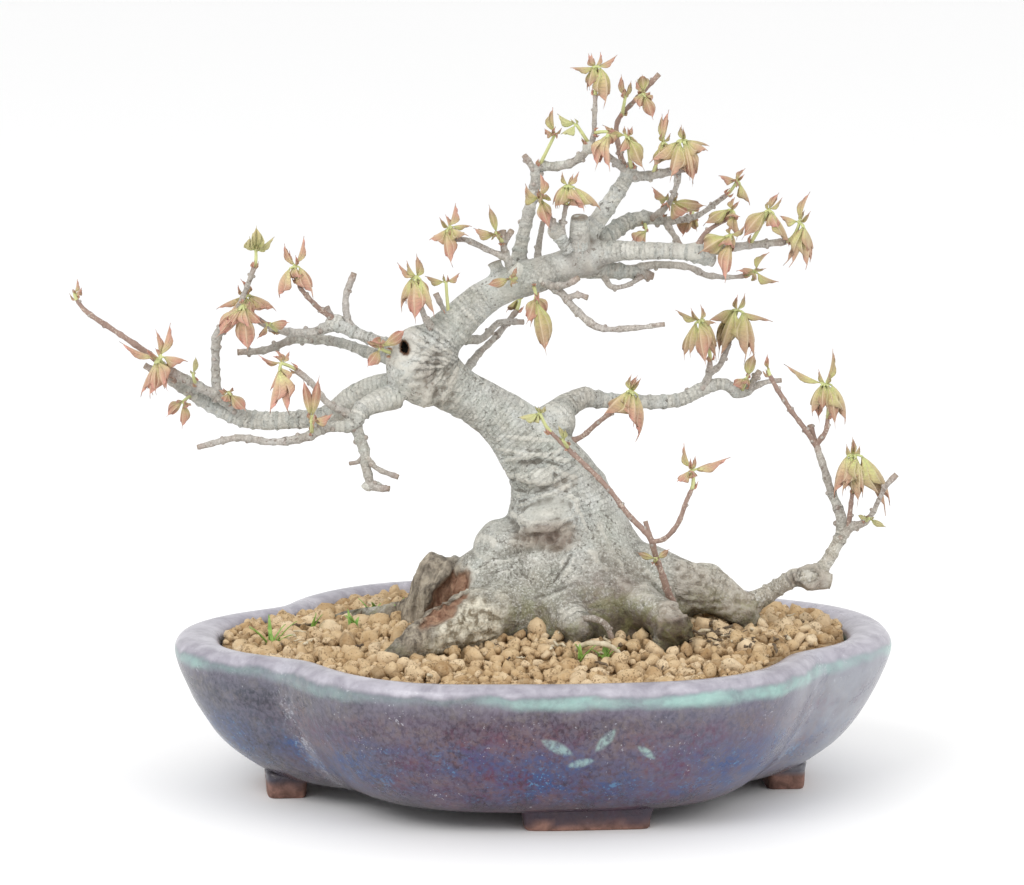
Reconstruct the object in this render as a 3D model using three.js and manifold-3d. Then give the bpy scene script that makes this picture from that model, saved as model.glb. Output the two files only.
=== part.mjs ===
// Trident maple bonsai in an oval quatrefoil pot, in millimetres, +Z up, front towards -Y.
// Pieces: a glazed pot with two drain holes, a plastic screen over each hole, gritty soil, the wood of
// the tree (roots, trunk, limbs and twigs grown as one), a spray of young leaves on each bud, and tufts
// of grass in the soil.
import * as THREE from "three";
import { mergeVertices } from "three/addons/utils/BufferGeometryUtils.js";
import Module from "manifold-3d";

const wasm = await Module();
wasm.setup();

// Driving dimensions
const POT_LENGTH = 210;
const POT_DEPTH = 164;
const POT_HEIGHT = 46;
const POT_TURN = THREE.MathUtils.degToRad(4.5); // the pot stands a little turned to the tree's front
const POT_SEGMENTS = 42;
const END_LOBES = { halfWidth: 53, power: 2.4 }; // the two lobes at the ends of the long axis
const SIDE_LOBES = { halfWidth: 79, power: 3 }; // the wider lobes at the front and the back
const NOTCH_SHARPNESS = 30;
const LOBE_SHIFT = 5; // the front and back lobes were pressed a little off centre by hand
const WALL_STEEPNESS = 0.15; // the front and back walls lean in this much less than the ends
const FLOOR_TOP = 11;
const FOOT_HEIGHT = 5.6;
const DRAIN_RADIUS = 5.5;
const DRAIN_SPACING = 76;
const SCREEN_SIDE = 18;
const SCREEN_THICKNESS = 1;
const GAP = 0.35; // clearance between pieces that rest on each other
const SOIL_EDGE_HEIGHT = 43.2;
const SOIL_MOUND_HEIGHT = 9;
const SOIL_RINGS = 8;
const GRAIN_RELIEF = 1.5;
const ROOT_BASE_HEIGHT = 38; // the roots' flat underside in the soil
const BLADE_THICKNESS = 0.7;
const SCRAP_VOLUME = 0.5;
const SHOOT_RADIUS = 0.75;
const HUB_RADIUS = 1.1;
const HUB_HEIGHT = 0.9;
const TUFT_DEPTH = 5; // of a grass tuft's foot in the soil
const TUFT_RISE = 2.6; // of its node above the soil
const HANG_REACH = 0.38; // how far a hanging leaf's tip stands off, as a share of its drop
const WIDEST_FACET_GAP = THREE.MathUtils.degToRad(140);

// The eye that the front view is seen from, and the pot's centre below the tree.
const EYE = new THREE.Vector3(-6, -1393, 333);

const materials = {
  glaze: new THREE.MeshStandardMaterial({ color: 0x6d6480, roughness: 0.25 }),
  screen: new THREE.MeshStandardMaterial({ color: 0x23262a, roughness: 0.6 }),
  soil: new THREE.MeshStandardMaterial({ color: 0xb48a58, roughness: 0.95 }),
  bark: new THREE.MeshStandardMaterial({ color: 0xaaa79d, roughness: 0.9 }),
  leaf: new THREE.MeshStandardMaterial({ color: 0xb5825a, roughness: 0.6 }),
  grass: new THREE.MeshStandardMaterial({ color: 0x6ea84b, roughness: 0.6 }),
};

// Helpers

// A point of the front view, in millimetres on the upright plane through the pot's centre.
// Depth slides it along the line of sight, so that it keeps its place in that view.
function seen(x, z, depth) {
  const onPlane = new THREE.Vector3(x, 0, z);
  return onPlane.sub(EYE).multiplyScalar(1 - depth / EYE.y).add(EYE);
}

function solidOf(geometry) {
  const bare = geometry.clone();
  bare.deleteAttribute("normal");
  bare.deleteAttribute("uv");
  const merged = mergeVertices(bare, 1e-4);
  return new wasm.Manifold(
    new wasm.Mesh({
      numProp: 3,
      vertProperties: new Float32Array(merged.attributes.position.array),
      triVerts: new Uint32Array(merged.index.array),
    }),
  );
}

// The main body of a solid, as a geometry. Loose scraps of a cut are dropped, but not whole pieces.
function geometryOf(solid, name) {
  const bodies = solid.decompose();
  const main = bodies.reduce((a, b) => (b.volume() > a.volume() ? b : a));
  const loose = bodies.filter((body) => body !== main && body.volume() > SCRAP_VOLUME);
  if (loose.length > 0) {
    const where = loose.map((body) => body.boundingBox().min.map((v) => v.toFixed(0)).join(" "));
    throw new Error(`${name} has loose pieces at ${where.join(", ")}`);
  }
  const { vertProperties, triVerts } = main.getMesh();
  return new THREE.BufferGeometry()
    .setAttribute("position", new THREE.BufferAttribute(vertProperties, 3))
    .setIndex(new THREE.BufferAttribute(triVerts, 1));
}

function pieceOf(name, solid, material) {
  const mesh = new THREE.Mesh(geometryOf(solid, name), material);
  mesh.geometry.computeVertexNormals();
  mesh.name = name;
  return mesh;
}

const fused = (solids) => wasm.Manifold.union(solids);

// A repeatable number from 0 to 1 for two whole numbers.
function draw(i, j) {
  const s = Math.sin(i * 127.1 + j * 311.7) * 43758.5453;
  return s - Math.floor(s);
}

// A limb: a cylinder whose rings are carried along a curve, each ring with its own radius.
// stations is [[x, z, depth, radius], ...] in the front view; grow widens it all over.
function limb(stations, sides, steps, grow = 0) {
  const points = stations.map(([x, z, depth]) => seen(x, z, depth));
  const curve = new THREE.CatmullRomCurve3(points, false, "centripetal");
  const frames = curve.computeFrenetFrames(steps);
  const geometry = new THREE.CylinderGeometry(1, 1, 1, sides, steps);
  const position = geometry.attributes.position;
  for (let i = 0; i < position.count; i++) {
    const along = position.getY(i) + 0.5;
    const ring = Math.round(along * steps);
    const place = curve.getUtoTmapping(along) * (stations.length - 1);
    const before = Math.min(Math.floor(place), stations.length - 2);
    const [start, end] = [stations[before][3], stations[before + 1][3]];
    const radius = THREE.MathUtils.lerp(start, end, place - before) + grow;
    const spot = curve
      .getPointAt(along)
      .addScaledVector(frames.normals[ring], position.getX(i) * radius)
      .addScaledVector(frames.binormals[ring], -position.getZ(i) * radius)
      .addScaledVector(frames.tangents[ring], (along > 0.5 ? grow : -grow) * (ring % steps === 0 ? 1 : 0));
    position.setXYZ(i, spot.x, spot.y, spot.z);
  }
  return solidOf(geometry);
}

// A lump: a coarse ball, stretched by its three half-widths along X, Y and Z.
function lump([x, z, depth], [halfX, halfY, halfZ], grow = 0, tilt = 0) {
  const geometry = new THREE.SphereGeometry(1, 8, 5);
  geometry.scale(halfX + grow, halfY + grow, halfZ + grow).rotateY(tilt);
  const centre = seen(x, z, depth);
  return solidOf(geometry.translate(centre.x, centre.y, centre.z));
}

// Pot

// The quatrefoil outline at an angle: the outer of two crossing superellipses, blended at the notches.
function outline(angle) {
  const [c, s] = [Math.abs(Math.cos(angle)), Math.abs(Math.sin(angle))];
  const [halfLength, halfDepth] = [POT_LENGTH / 2, POT_DEPTH / 2];
  const reach = (x, y, power) => (x ** power + y ** power) ** (-1 / power);
  const ends = reach(c, (s * halfDepth) / END_LOBES.halfWidth, END_LOBES.power);
  const sides = reach((c * halfLength) / SIDE_LOBES.halfWidth, s, SIDE_LOBES.power);
  const share = (ends ** NOTCH_SHARPNESS + sides ** NOTCH_SHARPNESS) ** (1 / NOTCH_SHARPNESS);
  return [halfLength * Math.cos(angle) * share, halfDepth * Math.sin(angle) * share];
}

// Turns a profile of [share of the outline, height] about the pot's axis, along the outline.
function turned(profile, inset = 0) {
  const geometry = new THREE.LatheGeometry(
    profile.map(([share, height]) => new THREE.Vector2(share, height)),
    POT_SEGMENTS,
  );
  const position = geometry.attributes.position;
  for (let i = 0; i < position.count; i++) {
    const share = Math.hypot(position.getX(i), position.getZ(i));
    const angle = Math.atan2(position.getX(i), position.getZ(i));
    const [x, y] = outline(angle);
    const kept = Math.max(share - inset / Math.hypot(x, y), 0);
    const keptDepth = kept > 0 ? kept + (1 - kept) * WALL_STEEPNESS * Math.min(share / 0.6, 1) : 0;
    const shifted = x * kept + LOBE_SHIFT * (1 - ((2 * x) / POT_LENGTH) ** 2) * kept;
    position.setXYZ(i, shifted, y * keptDepth, position.getY(i));
  }
  return geometry;
}

const WALL_PROFILE = [
  [0, FOOT_HEIGHT],
  [0.71, FOOT_HEIGHT],
  [0.757, 7.4],
  [0.873, 16.4],
  [0.935, 25],
  [0.975, 33],
  [1, 41.5],
  [0.985, 44.8],
  [0.945, POT_HEIGHT],
  [0.9, 45.4],
  [0.874, 42],
];
const CAVITY_PROFILE = [
  [0.85, 32],
  [0.76, 16],
  [0.66, FLOOR_TOP],
];

function drainHoles(radius, bottom, top) {
  return [-1, 1].map((side) => {
    const geometry = new THREE.CylinderGeometry(radius, radius, top - bottom, 16);
    geometry.rotateX(Math.PI / 2);
    geometry.translate((side * DRAIN_SPACING) / 2, 0, (top + bottom) / 2);
    return solidOf(geometry);
  });
}

// A foot: a low block that follows the pot's underside, narrower where it stands.
function foot(length, width, distance, angle, slide = 0) {
  const geometry = new THREE.BoxGeometry(length, width, FOOT_HEIGHT + 3);
  const position = geometry.attributes.position;
  for (let i = 0; i < position.count; i++) {
    const taper = position.getZ(i) < 0 ? 0.93 : 1;
    position.setXY(i, position.getX(i) * taper, position.getY(i) * taper);
  }
  geometry.translate(slide, -distance + width / 2, (FOOT_HEIGHT + 3) / 2);
  return solidOf(geometry.rotateZ(angle));
}

function makePot() {
  const shell = solidOf(turned([...WALL_PROFILE, ...CAVITY_PROFILE, [0, FLOOR_TOP]]));
  const feet = [
    foot(38, 12, 61, 0, 10.5),
    foot(38, 12, 61, Math.PI, -5),
    foot(34, 12, 79, Math.PI / 2),
    foot(34, 12, 79, -Math.PI / 2),
  ];
  const holes = fused(drainHoles(DRAIN_RADIUS, 0, FLOOR_TOP + 1));
  return fused([shell, ...feet]).subtract(holes).rotate([0, 0, THREE.MathUtils.radToDeg(POT_TURN)]);
}

// Drain screens

// A block with its lowest face at a height, in the pot's own turn.
function block(width, depth, height, x, y, bottom) {
  const geometry = new THREE.BoxGeometry(width, depth, height);
  geometry.translate(x, y, bottom + height / 2);
  return solidOf(geometry.rotateZ(POT_TURN));
}

// A square of plastic mesh over one drain hole.
function makeScreen(side) {
  const middle = (side * DRAIN_SPACING) / 2;
  const pitch = SCREEN_SIDE / 6;
  const opening = SCREEN_SIDE / 5;
  const meshHoles = [-1, 1].flatMap((i) =>
    [-1, 1].map((j) => block(opening, opening, 4, middle + i * pitch, j * pitch, FLOOR_TOP - 1)),
  );
  const sheet = block(SCREEN_SIDE, SCREEN_SIDE, SCREEN_THICKNESS, middle, 0, FLOOR_TOP + GAP);
  return sheet.subtract(fused(meshHoles));
}

// The space that a screen takes up in the soil.
function screenPocket(side) {
  const width = SCREEN_SIDE + 2 * GAP;
  const height = SCREEN_THICKNESS + 3 * GAP;
  return block(width, width, height, (side * DRAIN_SPACING) / 2, 0, FLOOR_TOP);
}

// Wood

const TRUNK = [
  [14, 38, 0, 30],
  [14, 50, 0, 28],
  [12, 60, 0, 24.5],
  [10, 70, 0, 21],
  [8.5, 80, 0, 17],
  [6, 89, 0, 13.4],
  [2, 96.5, 0, 11],
  [-3, 102.5, 0, 9.6],
  [-9.5, 108.5, 0, 7.9],
  [-16.5, 113.2, 0, 7],
  [-24, 118, -1, 7],
  [-30, 124, -2, 8],
  [-28, 130.5, -2, 6.8],
  [-23.5, 135.5, -1, 5.8],
  [-15, 143.2, 0, 4.8],
  [-8, 147.2, 0, 4.9],
  [0, 150, 0.5, 5.2],
  [8, 152.8, 1, 4.6],
  [16, 156, 1, 5],
];

const ROOTS = [
  [
    [22, 62, -2, 12], [35, 60, -4, 10], [46, 58, -5, 7.6], [55, 55.6, -6, 6], [61, 51, -7, 4.6],
    [63, 45, -7, 3],
  ],
  [[24, 55, -13, 10], [33, 51.5, -21, 6.4], [39.5, 48, -28, 4.8], [43.5, 44, -33, 4]],
  [[36, 50, -24, 4.5], [38, 43, -31, 3.2], [37, 38, -33, 2.4]],
  [[-5, 52, -14, 11], [-16, 49, -23, 8.5], [-27, 45, -30, 6.5], [-36, 40.5, -36, 4.6], [-43, 36, -40, 3]],
  [[-28, 51, 1, 7], [-40, 50, 8, 3.6], [-50, 49.5, 13, 2.4], [-60, 48.5, 17, 1.5]],
  [[4, 60, 14, 11], [-8, 59, 26, 7.5], [-20, 56, 36, 5], [-29, 51.5, 43, 3]],
  [[28, 60, 13, 10], [41, 58, 25, 6.5], [51, 54.5, 34, 4], [58, 50, 39, 2.6]],
  [[8, 52, -18, 9], [12, 47.5, -27, 5], [15, 43, -31, 3]],
];

// The old broken stub at the left of the base, hollow in front.
const STUB = [
  [-27, 38, 0, 13.5],
  [-26.6, 48, -1, 12],
  [-26, 57, -2, 9.4],
  [-25, 63, -2, 7.6],
  [-24.4, 66.6, -2, 5.6],
];

// Lumps on the wood: [place in the front view, half-widths, tilt about Y].
const BURLS = [
  [[-34, 124.5, -3], [9, 8.5, 11.2], 0.15],
  [[-32, 116, -4], [6, 6, 4], 0],
  [[6.5, 107.5, 2], [6, 6, 6], 0],
  [[18.6, 88.6, 1], [2.8, 4, 4.4], 0],
  [[-7.5, 70, -3], [9.8, 11, 8.6], 0.2],
  [[-10, 57, -7], [15, 14, 14], 0],
  [[4, 79, -12.4], [9, 6, 4.5], -0.15],
  [[2, 91.5, -8.6], [7, 5.6, 4], 0],
  [[50, 60.5, -2], [6.5, 5, 5.5], 0],
  [[-5, 151.5, -3.5], [2.6, 2.6, 2.9], 0],
  [[15, 114.6, 10], [3.4, 3.4, 3.2], 0],
  [[80.5, 61.8, -8], [4.6, 3.2, 3.2], 0],
  [[-57.5, 136.5, 5], [3.2, 3, 2.6], 0],
  [[47, 157.2, -7], [3.6, 3, 2.9], 0],
  [[6.5, 163.4, -5], [2.8, 2.4, 2.6], 0],
  [[16, 187.5, 1], [2.2, 2, 2.2], 0],
  [[-47, 88.5, -15], [3.4, 2, 1.7], 0],
];

// Hollows cut into the wood: the knot's hole and the rotten front of the stub.
const HOLLOWS = [
  [[-38, 129, -12], [1.5, 5, 3], 0.25],
  [[-24.4, 57.5, -13], [4.4, 8, 10.5], 0.42],
];

// Limbs and twigs, each [[x, z, depth, radius], ...] from its root in older wood to its cut or bud.
const LIMBS = {
  right_limb: [
    [5, 108, 3, 4.6], [11, 112.8, 8, 3.6], [15, 114.2, 10, 2.9], [22, 113.6, 12, 2.3],
    [34, 113.2, 14, 2.1], [43, 114, 15, 2], [49, 117, 16, 1.9], [55, 118.5, 16, 1.6],
    [60, 115.8, 17, 1.7], [64, 117.6, 17, 1.1], [68, 119.2, 17.5, 0.8], [72, 119.6, 18, 0.7],
  ],
  right_fork_near: [[49.5, 117, 16, 1.3], [51, 122, 14, 1.1], [51.2, 125.5, 12, 0.7]],
  right_fork_far: [
    [51, 121.5, 14.5, 1], [54, 124, 17, 0.9], [56.5, 130, 20, 0.8], [57.2, 133.5, 21, 0.7],
  ],
  right_stub: [[62, 116.6, 17, 1], [65.6, 122.2, 15, 0.9]],
  right_bud: [[60.5, 116.5, 16.5, 1], [61.5, 118.8, 14, 0.7]],
  collar_twig: [
    [9, 101, 0, 1.3], [14, 103, -2, 0.9], [18, 106.5, -4, 0.8], [23, 110.5, -6, 0.8],
    [26, 113, -7, 0.7],
  ],
  low_limb: [
    [59, 52, -6, 4.2], [66, 54.9, -6, 3], [72, 58.6, -7, 2.6], [77, 61.4, -8, 2.8], [82, 61, -8, 2.7],
    [87, 60, -8, 1.9],
  ],
  low_rise: [
    [82, 61.5, -8, 2.4], [85.5, 65.5, -8, 2], [88, 70, -7.5, 1.9], [90, 74.5, -7, 1.9],
    [89.6, 79.5, -6, 1.6], [87, 86, -5, 1.3], [84.5, 94, -4, 1.1], [82.2, 101, -3, 1.1],
  ],
  low_whip: [
    [82.4, 100, -3, 1], [79.5, 104.5, -4, 0.9], [75, 110.5, -5, 0.8], [70.5, 117.5, -6, 0.8],
    [68.6, 121, -6, 0.7],
  ],
  low_stub: [[82.2, 100.5, -3, 1], [80.4, 106.5, -1, 0.9]],
  low_leaf_twig: [[82.2, 100.6, -3, 1], [85, 104.5, -4.5, 0.8], [85.6, 108.5, -5, 0.7]],
  low_fork: [
    [89.8, 73.5, -7, 1.7], [93, 76.3, -9, 1.3], [96, 77.2, -11, 1.1], [99, 80.5, -12, 0.8],
    [102.5, 88, -13, 0.7], [105.8, 91.8, -13, 0.9],
  ],
  low_fork_mid: [[92, 75.8, -8.5, 0.9], [92.4, 81, -10, 0.8], [93, 86.5, -11, 0.7]],
  front_shoot: [
    [41, 52, -20, 1.6], [38, 61, -27, 1.1], [35.6, 68, -29, 1], [34, 73, -30, 1], [28, 79.5, -29, 0.9],
    [21, 88.5, -27, 0.8], [10, 99.4, -24, 0.8], [5, 104.2, -23, 0.7],
  ],
  front_stub: [[34.2, 72.4, -30, 0.9], [32.6, 78, -29, 0.8]],
  front_side: [
    [34.2, 71.8, -30, 0.9], [38, 72.6, -31, 0.8], [42, 77, -32, 0.8], [44.6, 84, -33, 0.7],
    [46.2, 87.6, -33, 0.7],
  ],
  front_bud: [[35.4, 66, -28.5, 0.9], [35.9, 66.6, -31, 0.7]],
  left_limb: [
    [-38, 118, 1, 4.4], [-46, 117, 4, 4], [-53, 114, 6, 3.7], [-59, 109.6, 8, 3.1], [-69, 108, 10, 2.6],
    [-82, 108, 11, 2.7], [-88, 109.6, 11, 2.5], [-96, 113.6, 10, 2.1], [-103, 118, 9, 1.6],
    [-113, 124, 8, 1],
  ],
  left_upper: [[-84, 109, 10, 1.9], [-92, 115, 6, 1.4], [-99, 118.6, 4, 1.3], [-106, 122.8, 3, 1]],
  left_whip: [
    [-104, 118.6, 8.6, 1.2], [-109, 125, 5, 1.1], [-115, 129.6, 4, 1], [-122, 134.4, 3, 0.9],
    [-130, 140, 2, 0.8], [-132.6, 143.4, 2, 0.6],
  ],
  left_post: [
    [-92, 113.5, 7, 1.5], [-92.4, 124, 5, 1.2], [-91.6, 133, 4, 1.3], [-88, 136.8, 2, 0.8],
    [-84, 144.6, 1, 0.8], [-80.8, 152.8, 0, 0.7],
  ],
  left_post_bud: [[-86.4, 139.6, 1.6, 0.7], [-85.2, 140.6, -1.5, 0.7]],
  left_front: [
    [-40, 115, -5, 4], [-46, 113, -9, 3.2], [-50.4, 110.4, -12, 2.7], [-53, 106.6, -14, 2.1],
    [-60, 105.8, -15, 1.5], [-66, 103, -16, 1.4], [-76, 101.4, -17, 1.1], [-86, 102.6, -18, 1.1],
    [-98, 99.8, -20, 0.7],
  ],
  left_front_bud: [[-64.6, 103.8, -16, 1.2], [-64.6, 106, -19, 0.8]],
  left_front_twig: [
    [-51.6, 108.4, -13, 1.5], [-60, 113, -10, 0.9], [-64.4, 118.6, -9, 0.8], [-69, 122.6, -8, 0.8],
  ],
  left_drop: [
    [-52, 106.4, -13, 1.7], [-49.4, 99, -15, 1.5], [-48.6, 93, -16, 1.3], [-47, 88.5, -16, 1.2],
    [-42, 87.6, -17, 0.8],
  ],
  left_drop_side: [[-49, 97.4, -15.4, 1], [-46, 93.8, -17, 0.8], [-39.4, 91, -18, 0.8]],
  left_drop_spur: [[-49.4, 97.6, -15.4, 0.8], [-51, 95.6, -14, 0.6], [-53.6, 95, -13, 0.6]],
  upper_left: [
    [-35, 126, 1, 3.2], [-47, 127.4, 9, 1.9], [-54, 130, 12, 1.6], [-62, 131.6, 14, 1.5],
    [-70, 131.4, 15, 1.3], [-78, 128.4, 15, 1.2], [-86, 127.8, 15, 1],
  ],
  upper_left_front: [
    [-40, 129, -2, 2], [-50, 132.8, 2, 1.7], [-57, 135.6, 4, 1.9], [-64, 133.8, 6, 1.3],
    [-72, 133.8, 7, 1.2], [-79, 136.6, 7, 0.9], [-82, 139.2, 7, 0.7],
  ],
  upper_left_shoot: [
    [-58, 137.4, 4, 1.1], [-63, 141.4, 1, 0.8], [-67.4, 146.4, -1, 0.8], [-68.2, 148.4, -2, 0.7],
  ],
  upper_left_stub: [[-58, 137, 5, 1.1], [-60.2, 140.8, 7, 1]],
  upper_left_rise: [[-51, 132.6, 2.5, 1.3], [-54, 137.6, 4, 1], [-54.4, 144, 5, 0.9], [-52, 151, 5, 0.9]],
  upper_left_bud: [[-74, 133.8, 7.2, 0.8], [-76.4, 135.4, 4, 0.7]],
  knot_bud: [[-41, 127.6, -6, 1.6], [-43.8, 127.6, -9, 0.9]],
  elbow_stub: [[-25, 138, -1, 1], [-28.4, 145, 1, 0.8]],
  elbow_bud: [[-24.5, 138, -3, 1], [-25.4, 143.6, -6, 0.7]],
  elbow_front_bud: [[-29, 134, -5, 1.2], [-31.8, 138.6, -9, 0.8], [-33.2, 144.6, -11, 0.7]],
  back_twig_high: [
    [-21, 131.6, 2, 1.6], [-15, 131.8, 8, 1.1], [-10, 136.4, 12, 0.9], [-3, 136.6, 15, 0.8],
  ],
  back_twig_low: [[-20, 122, 3, 1.6], [-16, 127.4, 9, 1], [-11, 132.4, 13, 0.9], [-5, 140, 17, 0.8]],
  crown_left: [[-5.6, 151.6, -3, 1.8], [-8.4, 157, -5, 1.2], [-9, 163.4, -6, 0.9]],
  crown_left_side: [
    [-8, 155.4, -4.6, 1.1], [-13, 157.6, -7, 0.9], [-19.6, 160.6, -9, 0.8], [-22.8, 160.8, -9.5, 0.7],
  ],
  crown_left_tip: [[-8.6, 159.6, -5.4, 0.9], [-6.4, 163.4, -7, 0.8]],
  crown_left_bud: [[-8.7, 160, -5.5, 0.9], [-10.2, 160.6, -8.4, 0.7]],
  crown_stub: [[-9, 148, 0, 2.4], [-11.4, 154, 2, 1.8]],
  crown_low_bud: [[-5, 149.4, -5, 1.4], [-6, 149.2, -8.2, 0.8]],
  apex_left: [
    [-5, 152, 3, 2.6], [-3.6, 159.6, 4, 2], [-1.6, 168, 5, 1.8], [0.2, 176, 6, 1.6],
    [1.4, 181.6, 6, 1.5], [6, 182, 5, 1.4], [11, 183, 3, 1.3], [16, 187.4, 1, 1.2], [17.2, 191, 1, 0.8],
    [17.5, 197, 1, 0.7], [17.7, 202.6, 1, 0.7],
  ],
  apex_left_stub: [[0.6, 180.4, 6, 1.1], [-2.8, 185.2, 8, 0.9]],
  apex_left_twig: [[1.4, 181.8, 5.6, 0.9], [4.2, 187.2, 3, 0.7]],
  apex_mid_stub: [[16, 188.4, 1, 1], [12.8, 193.2, -1, 0.8]],
  apex_mid_bud: [[17.4, 191.6, 1, 0.7], [19.8, 192.4, -2.6, 0.6]],
  apex_right: [
    [13, 158, 1, 3.4], [18, 165.6, 3, 2.7], [22.4, 172, 4, 2.4], [26.6, 178.4, 5, 2.2],
    [28.4, 182.6, 5, 1.8],
  ],
  apex_right_left: [[27.4, 179.6, 5, 1.2], [23, 183.8, 3, 1], [18, 187.6, 1.4, 0.9]],
  apex_right_up: [
    [26.4, 180.6, 5, 1.1], [24.8, 186, 7, 0.9], [24, 194.6, 8, 0.8], [29.4, 201.4, 8, 0.8],
    [36, 208.6, 7, 0.8],
  ],
  apex_up_bud_low: [[25.4, 196.4, 8, 0.8], [25.6, 198.4, 5.4, 0.6]],
  apex_up_bud_high: [[30.2, 202.2, 8, 0.8], [31.4, 202.6, 5, 0.6]],
  apex_front_bud: [[28.2, 181, 4, 1.1], [27.4, 184.6, 0, 0.8]],
  apex_right_arm: [[28, 179, 5, 1.6], [34, 179.4, 2, 1.3], [40, 180.6, -1, 1.2], [43.6, 181.2, -3, 1]],
  apex_arm_bud: [[34.4, 179.6, 1.6, 1], [35.4, 183.4, -1, 0.7]],
  apex_arm_low: [[41.6, 180, -1.6, 1], [41, 176, 2, 0.8], [38.4, 170.4, 8, 0.8], [34, 166.8, 12, 1]],
  crown_cut: [[13, 156, -1, 3.2], [13.2, 167.4, -4, 2.7]],
  crown_front: [[10, 157.6, -3, 2], [6.6, 163, -5.6, 1.7], [4, 167.6, -8, 0.8]],
  crown_front_side: [[8, 161.6, -5, 1.1], [8.6, 167, -7, 0.7], [9.4, 171, -9, 0.6]],
  crown_back_spur: [[1, 153, 3.6, 1.3], [1.4, 158.6, 8, 0.9], [2.6, 166, 10, 0.8]],
  right_main: [
    [15, 156, 1, 4.2], [24, 157.4, -1, 3.1], [32, 157.4, -4, 2.6], [40, 157.4, -6, 2.4],
    [47, 157, -8, 2.3], [53, 157.6, -9, 1.4], [60, 158.8, -10, 1], [68, 159.6, -11, 0.9],
    [73, 160.2, -11.5, 0.8],
  ],
  right_main_cut: [[46, 156.6, -7, 2.2], [52, 154.4, -5, 1.8]],
  right_main_twig: [[47.4, 158.6, -7.6, 1.3], [50, 163, -5, 0.8], [55.6, 166.6, -3, 0.7]],
  right_main_bud: [[53, 158, -9.2, 1], [56, 160, -12.4, 0.7]],
  right_main_tip: [[62.6, 159.4, -10.4, 0.8], [64.8, 163, -12.6, 0.7]],
  right_upper: [
    [15, 158, 4, 3.2], [22, 162.4, 8, 2.7], [27, 165.8, 11, 2.4], [33, 167, 13, 2],
    [38, 166.2, 14, 1.3], [47, 167.6, 16, 0.9], [52.6, 171.4, 17, 0.8], [55.8, 173.8, 17, 0.7],
  ],
  right_upper_twig: [[38, 166.2, 14, 1], [40.6, 161.8, 10, 0.9], [42.6, 158.8, 6, 0.8]],
  right_upper_bud: [[37, 168, 13, 0.9], [38.4, 169.8, 10, 0.7]],
  right_upper_low_bud: [[32, 165.6, 12, 1], [32.4, 164.2, 8.4, 0.7]],
  right_upper_far_bud: [[45, 167.2, 15.6, 0.8], [45.8, 168.2, 19, 0.7]],
  right_lower: [[12, 153, 2, 3.6], [22, 151.8, 5, 2.6], [29, 151.2, 7, 2], [34.6, 150, 8, 1.2]],
  right_lower_twig: [
    [28, 152, 6.6, 1.3], [36, 153.4, 9, 1.1], [45, 152.6, 11, 1], [50, 150.4, 12, 0.9],
    [57, 149.8, 13, 0.7], [61, 150.2, 13, 0.6],
  ],
  right_lower_loop: [[20, 151, 3.6, 1], [22.4, 147, 1, 0.8], [27, 147.4, 2, 0.7], [31.4, 150, 5, 0.7]],
  hanging_twig: [
    [3, 148.4, -2.6, 1.6], [8, 145, -6, 1.1], [13, 139.4, -8, 1], [19, 135, -10, 0.9],
    [28, 134.8, -12, 0.8], [38, 136, -13, 0.7],
  ],
  hanging_spur: [[5, 147, -5, 1.1], [9.6, 147.6, -9, 0.9], [13, 149.6, -11, 0.8]],
  hanging_side: [[9.6, 143.6, -6.8, 0.9], [12.8, 144.6, -9, 0.7], [15.6, 143.8, -10, 0.7]],
  hanging_bud: [[0, 147, -4, 1.4], [0.8, 145.6, -8.4, 0.8]],
  left_under_bud: [[-99, 115.4, 9.6, 1.2], [-101, 114.6, 5, 0.8]],
  left_mid_bud: [[-88.4, 112.4, 8.4, 1], [-89, 115, 3, 0.7]],
  left_far_bud: [[-98, 118.2, 4.2, 0.9], [-99.4, 120, 1.6, 0.6]],
  front_mid_bud: [[10, 99.6, -24, 0.9], [9.2, 100.8, -26.4, 0.6]],
  low_fork_bud: [[97, 78, -11.4, 0.9], [97.4, 78.4, -14, 0.6]],
  rootlet: [
    [9, 51, -22, 1.6], [13, 48.6, -29, 1.1], [17, 49, -31.4, 1], [21, 47.4, -32, 0.9],
    [23, 43, -32, 0.8],
  ],
};

// A spray on the side of a twig has no twig of its own, only a bud on the older wood.
const isBud = (name) => name in SPRAYS && LIMBS[name].length === 2;
const sidesOf = (stations) => (stations[0][3] > 3 ? 7 : stations[0][3] > 0.95 ? 5 : 4);

// The wood as a list of solids, each wider all over by grow.
function woodSolids(grow = 0) {
  return [
    limb(TRUNK, 12, 18, grow),
    limb(STUB, 9, 4, grow),
    ...ROOTS.map((stations) => limb(stations, 7, stations.length - 1, grow)),
    ...BURLS.map(([place, half, tilt]) => lump(place, half, grow, tilt)),
    ...Object.entries(LIMBS)
      .filter(([name]) => !isBud(name))
      .map(([, stations]) => limb(stations, sidesOf(stations), stations.length - 1, grow)),
  ];
}

function below(height) {
  const geometry = new THREE.BoxGeometry(400, 400, 400);
  return solidOf(geometry.translate(0, 0, height - 200));
}

function makeWood() {
  const hollows = fused(HOLLOWS.map(([place, half, tilt]) => lump(place, half, 0, tilt)));
  return fused(woodSolids()).subtract(hollows).subtract(below(ROOT_BASE_HEIGHT));
}

// Soil

function soilHeight(x, y) {
  const mound = Math.exp(-(((x - 12) / 72) ** 2) - (y / 40) ** 2);
  return SOIL_EDGE_HEIGHT + SOIL_MOUND_HEIGHT * mound;
}

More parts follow.
